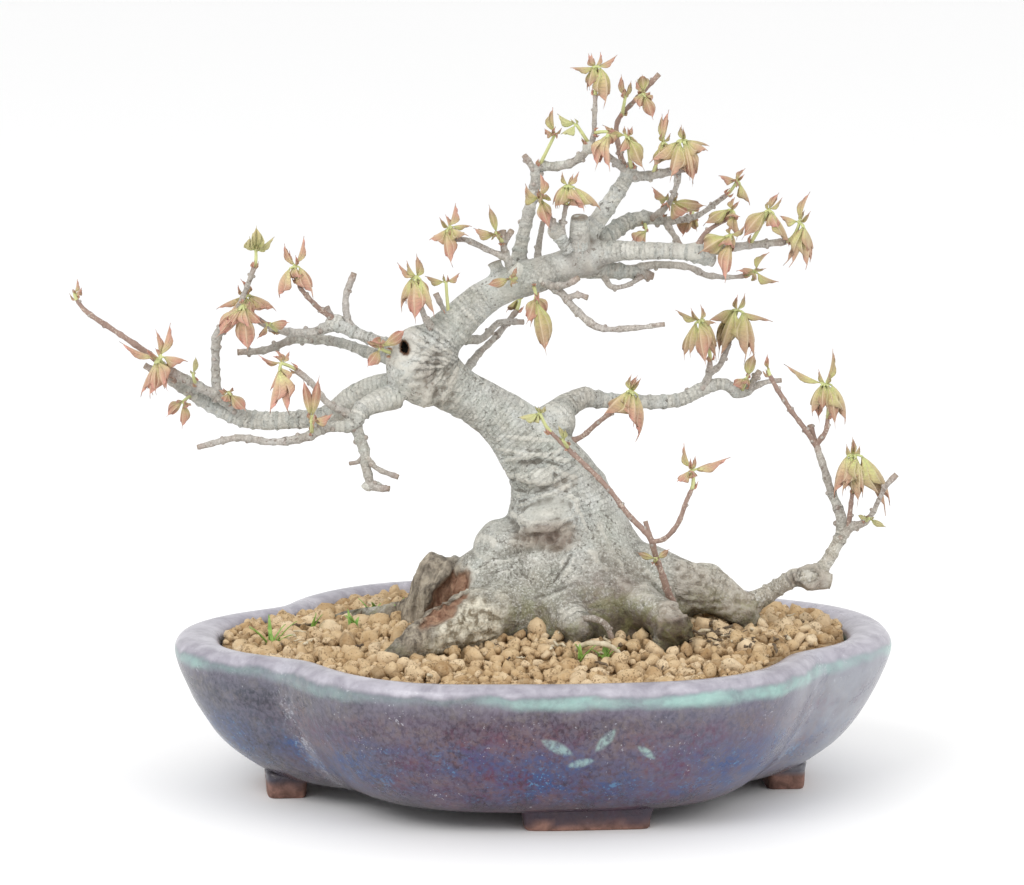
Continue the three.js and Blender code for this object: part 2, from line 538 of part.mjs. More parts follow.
// The soil fills the pot's cavity. Its top is raised into grains: rings of points pushed up and down.
function makeSoil(cuts) {
  const bottom = FLOOR_TOP + GAP;
  const wall = [[0, bottom], [0.66, bottom], [0.76, 16.3], [0.85, 32], [0.868, SOIL_EDGE_HEIGHT - 2.2]];
  const top = [];
  for (let ring = SOIL_RINGS; ring >= 0; ring--) top.push([(0.85 * ring) / SOIL_RINGS, SOIL_EDGE_HEIGHT]);
  const geometry = turned([...wall, ...top], GAP);
  const position = geometry.attributes.position;
  for (let i = 0; i < position.count; i++) {
    if (position.getZ(i) < SOIL_EDGE_HEIGHT - 0.01) continue;
    const [x, y] = [position.getX(i), position.getY(i)];
    const grain = draw(Math.round(x * 3), Math.round(y * 3)) - 0.5;
    position.setZ(i, soilHeight(x, y) + 2 * GRAIN_RELIEF * grain);
  }
  const turnedSoil = solidOf(geometry).rotate([0, 0, THREE.MathUtils.radToDeg(POT_TURN)]);
  return turnedSoil.subtract(fused([cuts, screenPocket(-1), screenPocket(1)]));
}

// Sprays of leaves

// Half outlines as [share of length, share of half-width], from the stalk to just short of the tip.
// A trident leaf hangs open with three points; a spear is a young leaf still folded along its midrib.
const TRIDENT = { edge: [[0.72, 1], [0.6, 0.4]], halfWidth: 0.62, fold: 0.4 };
const SPEAR = { edge: [[0.4, 1]], halfWidth: 0.5, fold: 0.4 };

// A closed surface that is put together facet by facet, from points and polygons.
class Surface {
  points = [];
  index = [];

  add(point) {
    this.points.push(point);
    return this.points.length - 1;
  }

  // A polygon as a fan from its first corner.
  face(...corners) {
    for (let i = 1; i < corners.length - 1; i++) this.index.push(corners[0], corners[i], corners[i + 1]);
  }

  solid() {
    return solidOf(new THREE.BufferGeometry().setFromPoints(this.points).setIndex(this.index));
  }
}

// A leaf on one four-cornered facet of a hub. The facet's corners, seen from outside, are its upper
// left, upper right, lower right and lower left one; up and out are the hub's and the facet's directions.
function makeLeaf(corners, up, out, tip, width, form) {
  const surface = new Surface();
  const [upperLeft, upperRight, lowerRight, lowerLeft] = corners.map((corner) => surface.add(corner));
  const root = corners.reduce((sum, corner) => sum.clone().add(corner)).multiplyScalar(0.25);
  const along = tip.clone().sub(root);
  const axis = along.clone().normalize();
  const normal = up.clone().multiplyScalar(axis.dot(out) + 0.15).addScaledVector(out, -axis.dot(up));
  normal.addScaledVector(axis, -normal.dot(axis)).normalize();
  const side = axis.clone().cross(normal);
  const halfWidth = width * form.halfWidth;
  const pair = (u, v) => {
    const point = root.clone().addScaledVector(along, u).addScaledVector(side, v * halfWidth);
    point.addScaledVector(normal, -form.fold * Math.abs(v) * halfWidth);
    const lift = normal.clone().multiplyScalar(BLADE_THICKNESS / 2);
    return [surface.add(point.clone().add(lift)), surface.add(point.clone().sub(lift))];
  };
  const left = form.edge.map(([u, v]) => pair(u, -v));
  const point = pair(1, 0);
  const right = form.edge.map(([u, v]) => pair(u, v)).reverse();
  const rim = [[upperLeft, lowerLeft], ...left, point, ...right, [upperRight, lowerRight]];
  const half = form.edge.length + 2;
  const fan = (entries, face, flip) => {
    const [first, ...rest] = entries.map((entry) => entry[face]);
    surface.face(first, ...(flip ? rest.reverse() : rest));
  };
  const [leftHalf, rightHalf] = [rim.slice(0, half), rim.slice(half - 1).reverse()];
  fan(leftHalf, 0, true);
  fan(leftHalf, 1, false);
  fan(rightHalf, 0, false);
  fan(rightHalf, 1, true);
  surface.face(upperLeft, upperRight, point[0]);
  surface.face(lowerLeft, point[1], lowerRight);
  surface.face(upperLeft, lowerLeft, lowerRight, upperRight);
  for (let i = 0; i < rim.length - 1; i++) {
    surface.face(rim[i][0], rim[i + 1][0], rim[i + 1][1], rim[i][1]);
  }
  return surface.solid();
}

// Sprays: the twig that bears it, the shoot from the twig's end to the leaves' node as [dx, dz, dy],
// and the leaves' tips from that node as [dx, dz, dy, width]: open ones, then folded ones.
const SPRAYS = {
  apex_left: [
    [0, 8, 0], [[3.6, -12.5, -1, 5.5], [-2.5, -7, 3, 4]],
    [[-7.2, -0.6, -2, 2.8], [6.6, 3, 1, 2.6], [-1, 4, 2.5, 3.2]],
  ],
  apex_left_twig: [[1.8, 4, -1], [[-3, 2, -2, 2.2]], [[-0.4, 8, 0, 3.2]]],
  apex_mid_stub: [[-0.5, 0.8, -0.4], [[-4.8, -2.2, -1.5, 3]], [[-5.6, 3.2, 0.5, 3.2]]],
  apex_mid_bud: [[1.4, -0.2, -1.6], [[-4.4, -10.6, -1, 4.2], [0.2, -11.4, -2, 3.4]], []],
  apex_up_bud_low: [[0.6, 3.2, -1], [], [[-1.2, 7.2, 0, 2.4], [1.8, 5.4, -1, 1.8]]],
  apex_up_bud_high: [
    [0.2, 0.6, -1.6], [[2.6, -7.4, -2, 3.8], [-0.6, 5.8, -1.4, 3.4]], [[-2.4, 3.8, -1, 2]],
  ],
  apex_front_bud: [
    [-0.6, 6.2, -2], [[4.2, -9.4, -3, 4.8], [3.8, -3, 1.4, 3.6]],
    [[-7, 3.4, 2.5, 3.2], [1.6, 3, 2, 1.8]],
  ],
  apex_arm_bud: [[1.8, 5.6, -2], [[-2.8, -7, -3, 3.8]], [[1.8, 9.4, 0, 3], [-0.2, 8.4, 1.4, 2.2]]],
  apex_right_arm: [
    [-0.8, 8.4, -2.4], [[-2.6, -11.4, -3, 5.4], [3.6, -13.6, -1, 5], [7.6, -1, -3, 4.6]],
    [[8, -1.4, 2, 2]],
  ],
  right_upper: [[2.8, 4, -0.6], [[-5.4, 2, -1, 3.2], [3.6, -7, -1, 3.6]], [[2.4, 3.8, 0, 1.8]]],
  right_upper_bud: [[0.6, 2.2, -2], [[11.4, -1, 1, 3.6], [6, -3.6, -2, 5]], [[-4.8, 4.6, -1, 3]]],
  right_upper_low_bud: [[0.2, -0.4, -1.8], [[-2.4, -5.4, -1.4, 4.6], [-4.6, -3.6, 0.6, 2.8]], []],
  right_upper_far_bud: [[0.2, 0.4, 2], [[1.4, -6, 1, 3.4]], []],
  right_main_twig: [[1.6, 2.6, -1], [[-9, -4, -2, 4], [0.8, -8, -1, 3.4]], [[0.8, 4, 0, 2.2]]],
  right_main_tip: [[2.8, 6.4, -2.4], [[-7.8, -8.4, -2, 5], [5.4, -10.4, 0.6, 4.4]], [[3, 5.2, 0, 2.6]]],
  right_main: [
    [3.6, 5.4, -1], [[1.8, -13, -2, 4.6], [4, -7.4, 1, 3.2], [-5.6, 2.6, -1, 3.2]], [[3.2, 9, 0, 2.6]],
  ],
  right_main_bud: [[0.6, 2.2, -2], [[-9, -5, -1.6, 6], [-2, -13, -3, 4.2]], []],
  right_lower_twig: [[3, 1.2, 0], [[6.8, -3.4, -1.4, 3.2]], [[-5.6, 0.4, -2.6, 2.6], [3.6, 6.2, 0, 2.8]]],
  crown_front_side: [
    [0.4, 5.2, -1],
    [[-5.4, -6, -2, 4.2], [5.6, -7, -3.4, 4.2], [10.4, -6.4, 0.6, 4.4], [-3.6, -6.6, 2.4, 3]],
    [[1.6, 3.6, 3, 1.8]],
  ],
  crown_front: [[-2, 5, -1.6], [[-5.4, 3.6, -1, 3.4]], [[-0.6, 7.4, 0, 3.2], [3.4, -5, -3, 3]]],
  crown_left_bud: [[-0.4, 1.6, -1.8], [[-6.8, 2.4, -2, 3.2]], [[-2.4, 8.8, 0, 3]]],
  crown_left_side: [
    [-1.6, 3.2, -0.8], [[-6, -2.4, -2, 4.2], [5, -2.6, -2.4, 4.6], [1.2, -10.6, -3, 4]],
    [[1.4, 7.4, 0.4, 3.2], [6.6, 0.6, 1, 2]],
  ],
  elbow_front_bud: [
    [-0.6, 5, -1], [[-0.4, -13, -3, 5.4], [4.6, -11, -2, 4.2], [-4, -10.4, 3, 3.8]],
    [[0.2, 6.8, 3, 2.4], [-6, 4.2, -1.6, 2.4]],
  ],
  elbow_bud: [[0, 4.6, -0.6], [], [[-5.8, 2.6, -1, 2.8], [4, 3, 0.6, 2.2]]],
  crown_low_bud: [[-0.6, 0.4, -1.6], [[-7.2, -1.8, -1, 2.8]], [[1.6, 3.4, -1, 1.6]]],
  hanging_bud: [[-0.2, -0.8, -1.6], [[2.4, -16.4, -2, 5], [-1.6, -9.6, 1.4, 3.6]], []],
  back_twig_low: [[1, 3, 1], [[-4.4, -4, 1, 3.2]], []],
  knot_bud: [[-0.6, 1.6, -1.8], [[7.6, 6, -2.4, 3.4], [-4, -5, -2, 3.6]], [[-4.4, 2, 0.8, 2.2]]],
  upper_left_shoot: [
    [-0.8, 4.4, -0.6], [[-7, -8.6, -2, 4.8], [5.4, -9.6, -1, 5]],
    [[-3.4, 7, 0, 2.4], [2.2, 9, 0.6, 2.4]],
  ],
  left_post: [[0.4, 4.4, 0], [[0.4, 8.2, -1, 4]], [[5, 4.6, 1, 2.2]]],
  upper_left_front: [
    [-1.4, 5.4, -2.6], [[-5.2, -6, -1.6, 4.2], [6.2, -4, -1, 4.4]],
    [[-0.4, 5.4, -3, 2.8], [-8.4, -4.4, 2.6, 2.4]],
  ],
  left_post_bud: [[1, 1.2, -2], [[-5, -6, -2, 4], [1.6, -13.4, -4.5, 5.4], [6, -6.2, 0.6, 3.6]], []],
  upper_left_bud: [[-0.6, 1, -2], [[6.8, 0.8, -1, 2.8]], [[-3, -4.4, -1, 2.2]]],
  left_front_twig: [
    [-4, 2, -1], [[-3.4, -14.4, -2, 5], [2.8, -14, -3, 5]], [[-1.6, 4, 0, 2], [1.8, 3.8, 0.6, 2]],
  ],
  left_front_bud: [[0, 1.8, -1.6], [[6.2, 1.4, 1, 3]], [[-2.2, 12.6, 0, 3.6], [2.4, 13.4, -1.6, 3.8]]],
  left_whip: [[-0.4, 1.4, 0], [[2.4, 1.6, -1, 2]], [[0.8, 4.4, 0.6, 1.6]]],
  left_upper: [
    [-2.4, 3.4, -2], [[-3, -11.4, -2, 4.6], [1.4, -8.4, -4, 4], [8, -1.4, 1, 4.2]],
    [[-12, 4.6, -1, 2.8], [3, 10.6, 0, 3.2], [-1, 8.6, 1.6, 2.4]],
  ],
  left_under_bud: [[-0.6, -0.8, -1.6], [[-5, -4.6, -1, 3.2], [-0.6, -7.8, -1.4, 2.8]], []],
  left_mid_bud: [[0.4, 1.2, -1.4], [[5.4, -5.6, -2, 3.8]], [[-3, 0.8, 0, 2]]],
  left_far_bud: [[0.6, 1.4, -1], [], [[0.8, 5.4, 0, 2.2]]],
  front_shoot: [[-3, 5.6, -0.6], [[-6.4, 0, -1, 3], [-2.6, -2.6, 1, 2.4]], [[0.6, 2.6, -1, 1.6]]],
  front_mid_bud: [[-0.6, 1.2, -1], [], [[-1.4, 4.4, 0, 1.8], [0.6, 3.4, -0.6, 1.4]]],
  front_side: [
    [0, 5.2, -0.4], [[-5, -2.6, -2, 3.2], [10.6, 4.6, -1, 3.2]],
    [[-2.6, 8, 0, 2.4], [5.2, 2.8, 1, 2.2]],
  ],
  front_bud: [[0, 0.4, -1.6], [], [[-5.8, 2.2, -1, 2.8], [3.8, 3, 0, 2.6]]],
  collar_twig: [
    [2, 3.4, -1], [[-8, -7.4, -1.6, 6], [0.4, -10, -4, 4.4], [1.8, -15.8, 0, 5]],
    [[0.2, 5, 0, 1.8], [2.4, 3.4, 1, 1.6]],
  ],
  right_fork_near: [[-3, 11.6, -1], [[1.8, -12.8, -5.5, 5]], [[-7, 3.8, 0, 2.6], [4.8, -0.6, 0.8, 2]]],
  right_fork_far: [
    [1.8, 6.4, 0.6], [[0.8, -15, -2.4, 6], [-8, -3.6, -1, 4.8], [3.4, -12.6, 1, 4.4]],
    [[10.6, -3, 0, 2.6]],
  ],
  right_bud: [[0.4, 1.6, -1.4], [[-4.6, -1.8, -1, 3.4], [2.4, 7.6, 0, 3.2]], []],
  low_leaf_twig: [
    [-0.8, 9.6, 0],
    [[-4.4, -9, -2, 5], [-1.4, -12.4, 2, 4.2], [6.4, -11.4, -1, 6], [2.4, -12.2, -4, 4]],
    [[-12.4, 6, -1, 2.8], [2.2, 10.6, 0.6, 2.8]],
  ],
  low_fork_mid: [
    [0, 10.6, 0], [[-4, -11, -1.6, 6], [1.8, -14, -3, 4.6], [7, -14, 0, 5.4]],
    [[-2, 2.8, 2.4, 1.8], [2.4, 2.6, 3, 1.8]],
  ],
  low_fork_bud: [[0.4, 0.6, -1.4], [], [[5, -2.4, -1, 2.4], [-3.4, 1.4, -2, 1.8]]],
  low_whip: [[-0.4, 1.6, 0], [], [[-0.8, 4.6, 0, 1.8]]],
};

// Tufts of grass in the soil: where they stand as [x, y], and their blades' tips as in a spray.
const TUFTS = {
  left: [[-76, -16], [[-6.5, 7.5, -3, 2], [5.5, 9, 1, 2], [-1.5, 11, 2.5, 2], [7.5, 4.5, -4, 2]]],
  front: [[20.5, -42], [[-5.5, 5, -2.5, 2], [4.5, 6.5, -1.5, 2], [0.5, 8, 2, 2]]],
};

const TURN = 2 * Math.PI;
const gapAfter = (turns, i) => (turns[(i + 1) % turns.length] - turns[i] + TURN) % TURN || TURN;

// Moves directions round a hub apart until each has room for its facet.
function spread(turns) {
  const room = Math.min(THREE.MathUtils.degToRad(46), (TURN / turns.length) * 0.96);
  for (let round = 0; round < 40; round++) {
    turns.forEach((_, i) => {
      const short = room - gapAfter(turns, i);
      if (short <= 0 || turns.length < 2) return;
      turns[i] -= short / 2;
      turns[(i + 1) % turns.length] += short / 2;
    });
  }
  return turns;
}

// A shoot from its foot to its node, where it widens into a hub with one facet for each leaf.
function makeShoot(foot, heading, node, open, folded) {
  const up = node.clone().sub(foot).normalize();
  const across = new THREE.Vector3(0, 1, 0).cross(up).normalize();
  const away = up.clone().cross(across);
  const spoke = (turn) => {
    return across.clone().multiplyScalar(Math.cos(turn)).addScaledVector(away, Math.sin(turn));
  };

  // Hanging leaves stand off from the shoot like the ribs of an umbrella.
  const leaves = [...open.map((leaf) => [leaf, TRIDENT]), ...folded.map((leaf) => [leaf, SPEAR])].map(
    ([[dx, dz, dy, width], form]) => {
      const depth = Math.sqrt(Math.max((HANG_REACH * dz) ** 2 - dx ** 2, dy ** 2));
      const reach = new THREE.Vector3(dx, dy < 0 ? -depth : depth, dz);
      const turn = Math.atan2(reach.dot(away), reach.dot(across));
      return { tip: node.clone().add(reach), width, form, turn };
    },
  );
  leaves.sort((a, b) => a.turn - b.turn);
  const turns = spread(leaves.map((leaf) => leaf.turn));
  const facets = turns.map((turn, i) => ({ turn, leaf: leaves[i] }));
  const widest = () => {
    const gaps = facets.map((_, i) => gapAfter(facets.map((facet) => facet.turn), i));
    const i = gaps.indexOf(Math.max(...gaps));
    return [i, gaps[i]];
  };
  for (let [i, gap] = widest(); gap > WIDEST_FACET_GAP; [i, gap] = widest()) {
    facets.splice(i + 1, 0, { turn: facets[i].turn + gap / 2 });
  }

  const surface = new Surface();
  const sides = facets.length;
  const ring = (centre, axis, radius) =>
    facets.map((facet, i) => {
      const before = facets[(i + sides - 1) % sides].turn;
      const corner = spoke(before + ((facet.turn - before + TURN) % TURN) / 2);
      corner.addScaledVector(axis, -corner.dot(axis)).setLength(radius);
      return surface.add(centre.clone().add(corner));
    });
  const base = ring(foot, heading, SHOOT_RADIUS);
  const lower = ring(node.clone().addScaledVector(up, -HUB_HEIGHT / 2), up, HUB_RADIUS);
  const upper = ring(node.clone().addScaledVector(up, HUB_HEIGHT / 2), up, HUB_RADIUS * 0.8);
  surface.face(...base.slice().reverse());
  surface.face(...upper);
  const parts = facets.flatMap(({ turn, leaf }, i) => {
    const j = (i + 1) % sides;
    surface.face(base[i], base[j], lower[j], lower[i]);
    surface.face(upper[j], upper[i], lower[i], lower[j]);
    if (!leaf) return [];
    const corners = [upper[j], upper[i], lower[i], lower[j]].map((corner) => surface.points[corner]);
    return [makeLeaf(corners, up, spoke(turn), leaf.tip, leaf.width, leaf.form)];
  });
  return fused([surface.solid(), ...parts]);
}

// A spray grows from its twig's end, or from the side of a twig at a bud. What would touch the wood
// is cut back to a gap from it.
function makeSpray(name, woodClearance) {
  const [rise, open, folded] = SPRAYS[name];
  const [before, end] = LIMBS[name].map(([x, z, depth]) => seen(x, z, depth)).slice(-2);
  const node = end.clone().add(new THREE.Vector3(rise[0], rise[2], rise[1]));
  if (isBud(name)) {
    const heading = node.clone().sub(before).normalize();
    return makeShoot(before, heading, node, open, folded).subtract(woodClearance);
  }
  const heading = end.clone().sub(before).normalize();
  const foot = end.clone().addScaledVector(heading, GAP + 0.02);
  return makeShoot(foot, heading, node, open, folded).subtract(woodClearance);
}

function tuftFoot(name) {
  const [[x, y]] = TUFTS[name];
  return new THREE.Vector3(x, y, soilHeight(x, y) - TUFT_DEPTH);
}

function makeTuft(name) {
  const [, blades] = TUFTS[name];
  const foot = tuftFoot(name);
  const node = foot.clone().add(new THREE.Vector3(0, 0, TUFT_DEPTH + TUFT_RISE));
  return makeShoot(foot, new THREE.Vector3(0, 0, 1), node, [], blades);
}

// The plain hole in the soil that a tuft stands in.
function tuftHole(name) {
  const radius = HUB_RADIUS + GAP;
  const length = 2 * TUFT_DEPTH;
  const geometry = new THREE.CylinderGeometry(radius, radius, length, 8).rotateX(Math.PI / 2);
  const foot = tuftFoot(name);
  return solidOf(geometry.translate(foot.x, foot.y, foot.z - GAP + length / 2));
}

// The object

const wood = makeWood();
const woodClearance = fused(woodSolids(GAP));
const soilCuts = fused([
  woodClearance.subtract(below(ROOT_BASE_HEIGHT - GAP)),
  ...Object.keys(TUFTS).map(tuftHole),
]);

const bonsai = new THREE.Group();
bonsai.add(pieceOf("pot", makePot(), materials.glaze));
bonsai.add(pieceOf("drain_screen_left", makeScreen(-1), materials.screen));
bonsai.add(pieceOf("drain_screen_right", makeScreen(1), materials.screen));
bonsai.add(pieceOf("soil", makeSoil(soilCuts), materials.soil));
bonsai.add(pieceOf("wood", wood, materials.bark));
Object.keys(SPRAYS).forEach((name) => {
  bonsai.add(pieceOf("spray_" + name, makeSpray(name, woodClearance), materials.leaf));
});
Object.keys(TUFTS).forEach((name) => {
  bonsai.add(pieceOf("tuft_" + name, makeTuft(name), materials.grass));
});

// The origin is under the middle of the whole piece's box.
const box = new THREE.Box3().setFromObject(bonsai);
const middle = box.getCenter(new THREE.Vector3());
bonsai.children.forEach((piece) => piece.geometry.translate(-middle.x, -middle.y, -box.min.z));

export default bonsai;
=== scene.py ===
"""Trident maple bonsai in a glazed quatrefoil pot: its looks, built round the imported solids.

Points are worked out in millimetres from the pot's centre on the surface it stands on, with +X to the
right, +Y away from the front and +Z up. They become metres in the frame's place when a piece is made.
"""
import math

import bmesh
import bpy
import numpy as np
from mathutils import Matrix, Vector


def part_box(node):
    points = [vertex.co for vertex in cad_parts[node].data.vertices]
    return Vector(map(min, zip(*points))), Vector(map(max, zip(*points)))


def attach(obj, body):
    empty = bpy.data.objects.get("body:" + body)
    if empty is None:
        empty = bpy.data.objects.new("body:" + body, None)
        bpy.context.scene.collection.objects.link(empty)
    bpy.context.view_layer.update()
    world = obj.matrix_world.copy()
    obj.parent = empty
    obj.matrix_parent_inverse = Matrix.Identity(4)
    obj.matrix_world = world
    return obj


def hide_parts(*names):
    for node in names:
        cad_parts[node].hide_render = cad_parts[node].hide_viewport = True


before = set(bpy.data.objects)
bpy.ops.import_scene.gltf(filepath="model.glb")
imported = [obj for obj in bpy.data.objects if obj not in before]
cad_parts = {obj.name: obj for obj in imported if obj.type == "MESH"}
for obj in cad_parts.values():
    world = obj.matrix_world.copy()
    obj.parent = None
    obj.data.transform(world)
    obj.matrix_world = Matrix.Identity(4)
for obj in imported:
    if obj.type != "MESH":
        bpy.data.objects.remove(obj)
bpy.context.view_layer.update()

MM = 0.001
TURN = 2 * math.pi

# The drain screens lie evenly either side of the pot's centre.
screen_corners = [*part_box("drain_screen_left"), *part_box("drain_screen_right")]
POT_CENTRE = np.array([
    sum(corner.x for corner in screen_corners) / 4,
    sum(corner.y for corner in screen_corners) / 4,
    0.0,
])

# Sizes of the pot and the soil, as in the solids
POT_LENGTH = 210
POT_DEPTH = 164
POT_TURN = math.radians(4.5)
END_LOBES = (53, 2.4)  # half-width and power of the superellipse along the pot
SIDE_LOBES = (79, 3)  # and of the one across it
NOTCH_SHARPNESS = 30
NOTCH_WIDTH = 0.03
LOBE_SHIFT = 5
WALL_STEEPNESS = 0.15
FLOOR_TOP = 11
FOOT_HEIGHT = 5.6
DRAIN_RADIUS = 5.5
DRAIN_SPACING = 76
SOIL_EDGE_HEIGHT = 43.2
SOIL_MOUND_HEIGHT = 9
SOIL_MOUND_AT = 12  # how far right of the pot's centre the mound is
SOIL_MOUND_REACH = (72, 40)
HANG_REACH = 0.38  # how far a hanging leaf stands off from its shoot, as a share of its drop

# The wood's skin: size of its cells, sides of its tubes, share and rounds of smoothing
BARK_VOXEL = 0.68
CORE_SIDES = 28
SOFTENING = (0.5, 9)

# Sizes of the details that the solids leave out
LEAF_THICKNESS = 0.16
PETIOLE_RADIUS = 0.3
SHOOT_RADIUS = 0.45
SCALE_WIDTH = 1.3
SEEDLING_WIDTH = 1.2

# How finely twigs, stalks and grass are divided
TWIG_SPACING = 0.7
TWIG_SIDES = (14, 10)  # of thick and thin ones
STALK_STEPS = 7
GRASS_ROWS = 9
GRASS_COLUMNS = 5

# Seeds of the random draws
GRAIN_SEED = 11
SPRAY_SEED = 1000
WEED_SEED = 5
LITTER_SEED = 21

# The eye of the front view, from the pot's centre, and its lens
EYE = np.array([-6.0, -1393.0, 333.0])
CAMERA_PLACE = (-6.3, -1393.0, 332.6)
CAMERA_PITCH = math.radians(9.43)
CAMERA_LENS = 170.5

# Lights: name, place and aim in metres, width and height, power
SKY_STRENGTH = 1.0
LIGHTS = [
    ("soft_left", (-0.9, -1.2, 1.3), (0, 0, 0.08), (1.2, 0.9), 14),
    ("soft_right", (1.1, -0.9, 0.9), (0, 0, 0.08), (0.8, 0.8), 5),
]

# The wood in the front view: x, z, depth and radius in millimetres at each station of a limb. Depth runs
# along the line of sight.
TRUNK = [
    [14, 38, 0, 30],
    [14, 50, 0, 28],
    [12, 60, 0, 24.5],
    [10, 70, 0, 21],
    [8.5, 80, 0, 17],
    [6, 89, 0, 13.4],
    [2, 96.5, 0, 11],
    [-3, 102.5, 0, 9.6],
    [-9.5, 108.5, 0, 7.9],
    [-16.5, 113.2, 0, 7],
    [-24, 118, -1, 7],
    [-30, 124, -2, 8],
    [-28, 130.5, -2, 6.8],
    [-23.5, 135.5, -1, 5.8],
    [-15, 143.2, 0, 4.8],
    [-8, 147.2, 0, 4.9],
    [0, 150, 0.5, 5.2],
    [8, 152.8, 1, 4.6],
    [16, 156, 1, 5],
]

ROOTS = [
    [
        [22, 62, -2, 12], [35, 60, -4, 10], [46, 58, -5, 7.6], [55, 55.6, -6, 6], [61, 51, -7, 4.6],
        [63, 45, -7, 3],
    ],
    [[24, 55, -13, 10], [33, 51.5, -21, 6.4], [39.5, 48, -28, 4.8], [43.5, 44, -33, 4]],
    [[36, 50, -24, 4.5], [38, 43, -31, 3.2], [37, 38, -33, 2.4]],
    [
        [-5, 52, -14, 11], [-16, 49, -23, 8.5], [-27, 45, -30, 6.5], [-36, 40.5, -36, 4.6],
        [-43, 36, -40, 3],
    ],
    [[-28, 51, 1, 7], [-40, 50, 8, 3.6], [-50, 49.5, 13, 2.4], [-60, 48.5, 17, 1.5]],
    [[4, 60, 14, 11], [-8, 59, 26, 7.5], [-20, 56, 36, 5], [-29, 51.5, 43, 3]],
    [[28, 60, 13, 10], [41, 58, 25, 6.5], [51, 54.5, 34, 4], [58, 50, 39, 2.6]],
    [[8, 52, -18, 9], [12, 47.5, -27, 5], [15, 43, -31, 3]],
]

STUB = [
    [-27, 38, 0, 13.5],
    [-26.6, 48, -1, 12],
    [-26, 57, -2, 9.4],
    [-25, 63, -2, 7.6],
    [-24.4, 66.6, -2, 5.6],
]

# Burls: x, z and depth of the centre, half-widths, tilt
BURLS = [
    [[-34, 124.5, -3], [9, 8.5, 11.2], 0.15],
    [[-32, 116, -4], [6, 6, 4], 0],
    [[6.5, 107.5, 2], [6, 6, 6], 0],
    [[18.6, 88.6, 1], [2.8, 4, 4.4], 0],
    [[-7.5, 70, -3], [9.8, 11, 8.6], 0.2],
    [[-10, 57, -7], [15, 14, 14], 0],
    [[4, 79, -12.4], [9, 6, 4.5], -0.15],
    [[2, 91.5, -8.6], [7, 5.6, 4], 0],
    [[50, 60.5, -2], [6.5, 5, 5.5], 0],
    [[-5, 151.5, -3.5], [2.6, 2.6, 2.9], 0],
    [[15, 114.6, 10], [3.4, 3.4, 3.2], 0],
    [[80.5, 61.8, -8], [4.6, 3.2, 3.2], 0],
    [[-57.5, 136.5, 5], [3.2, 3, 2.6], 0],
    [[47, 157.2, -7], [3.6, 3, 2.9], 0],
    [[6.5, 163.4, -5], [2.8, 2.4, 2.6], 0],
    [[16, 187.5, 1], [2.2, 2, 2.2], 0],
    [[-47, 88.5, -15], [3.4, 2, 1.7], 0],
]

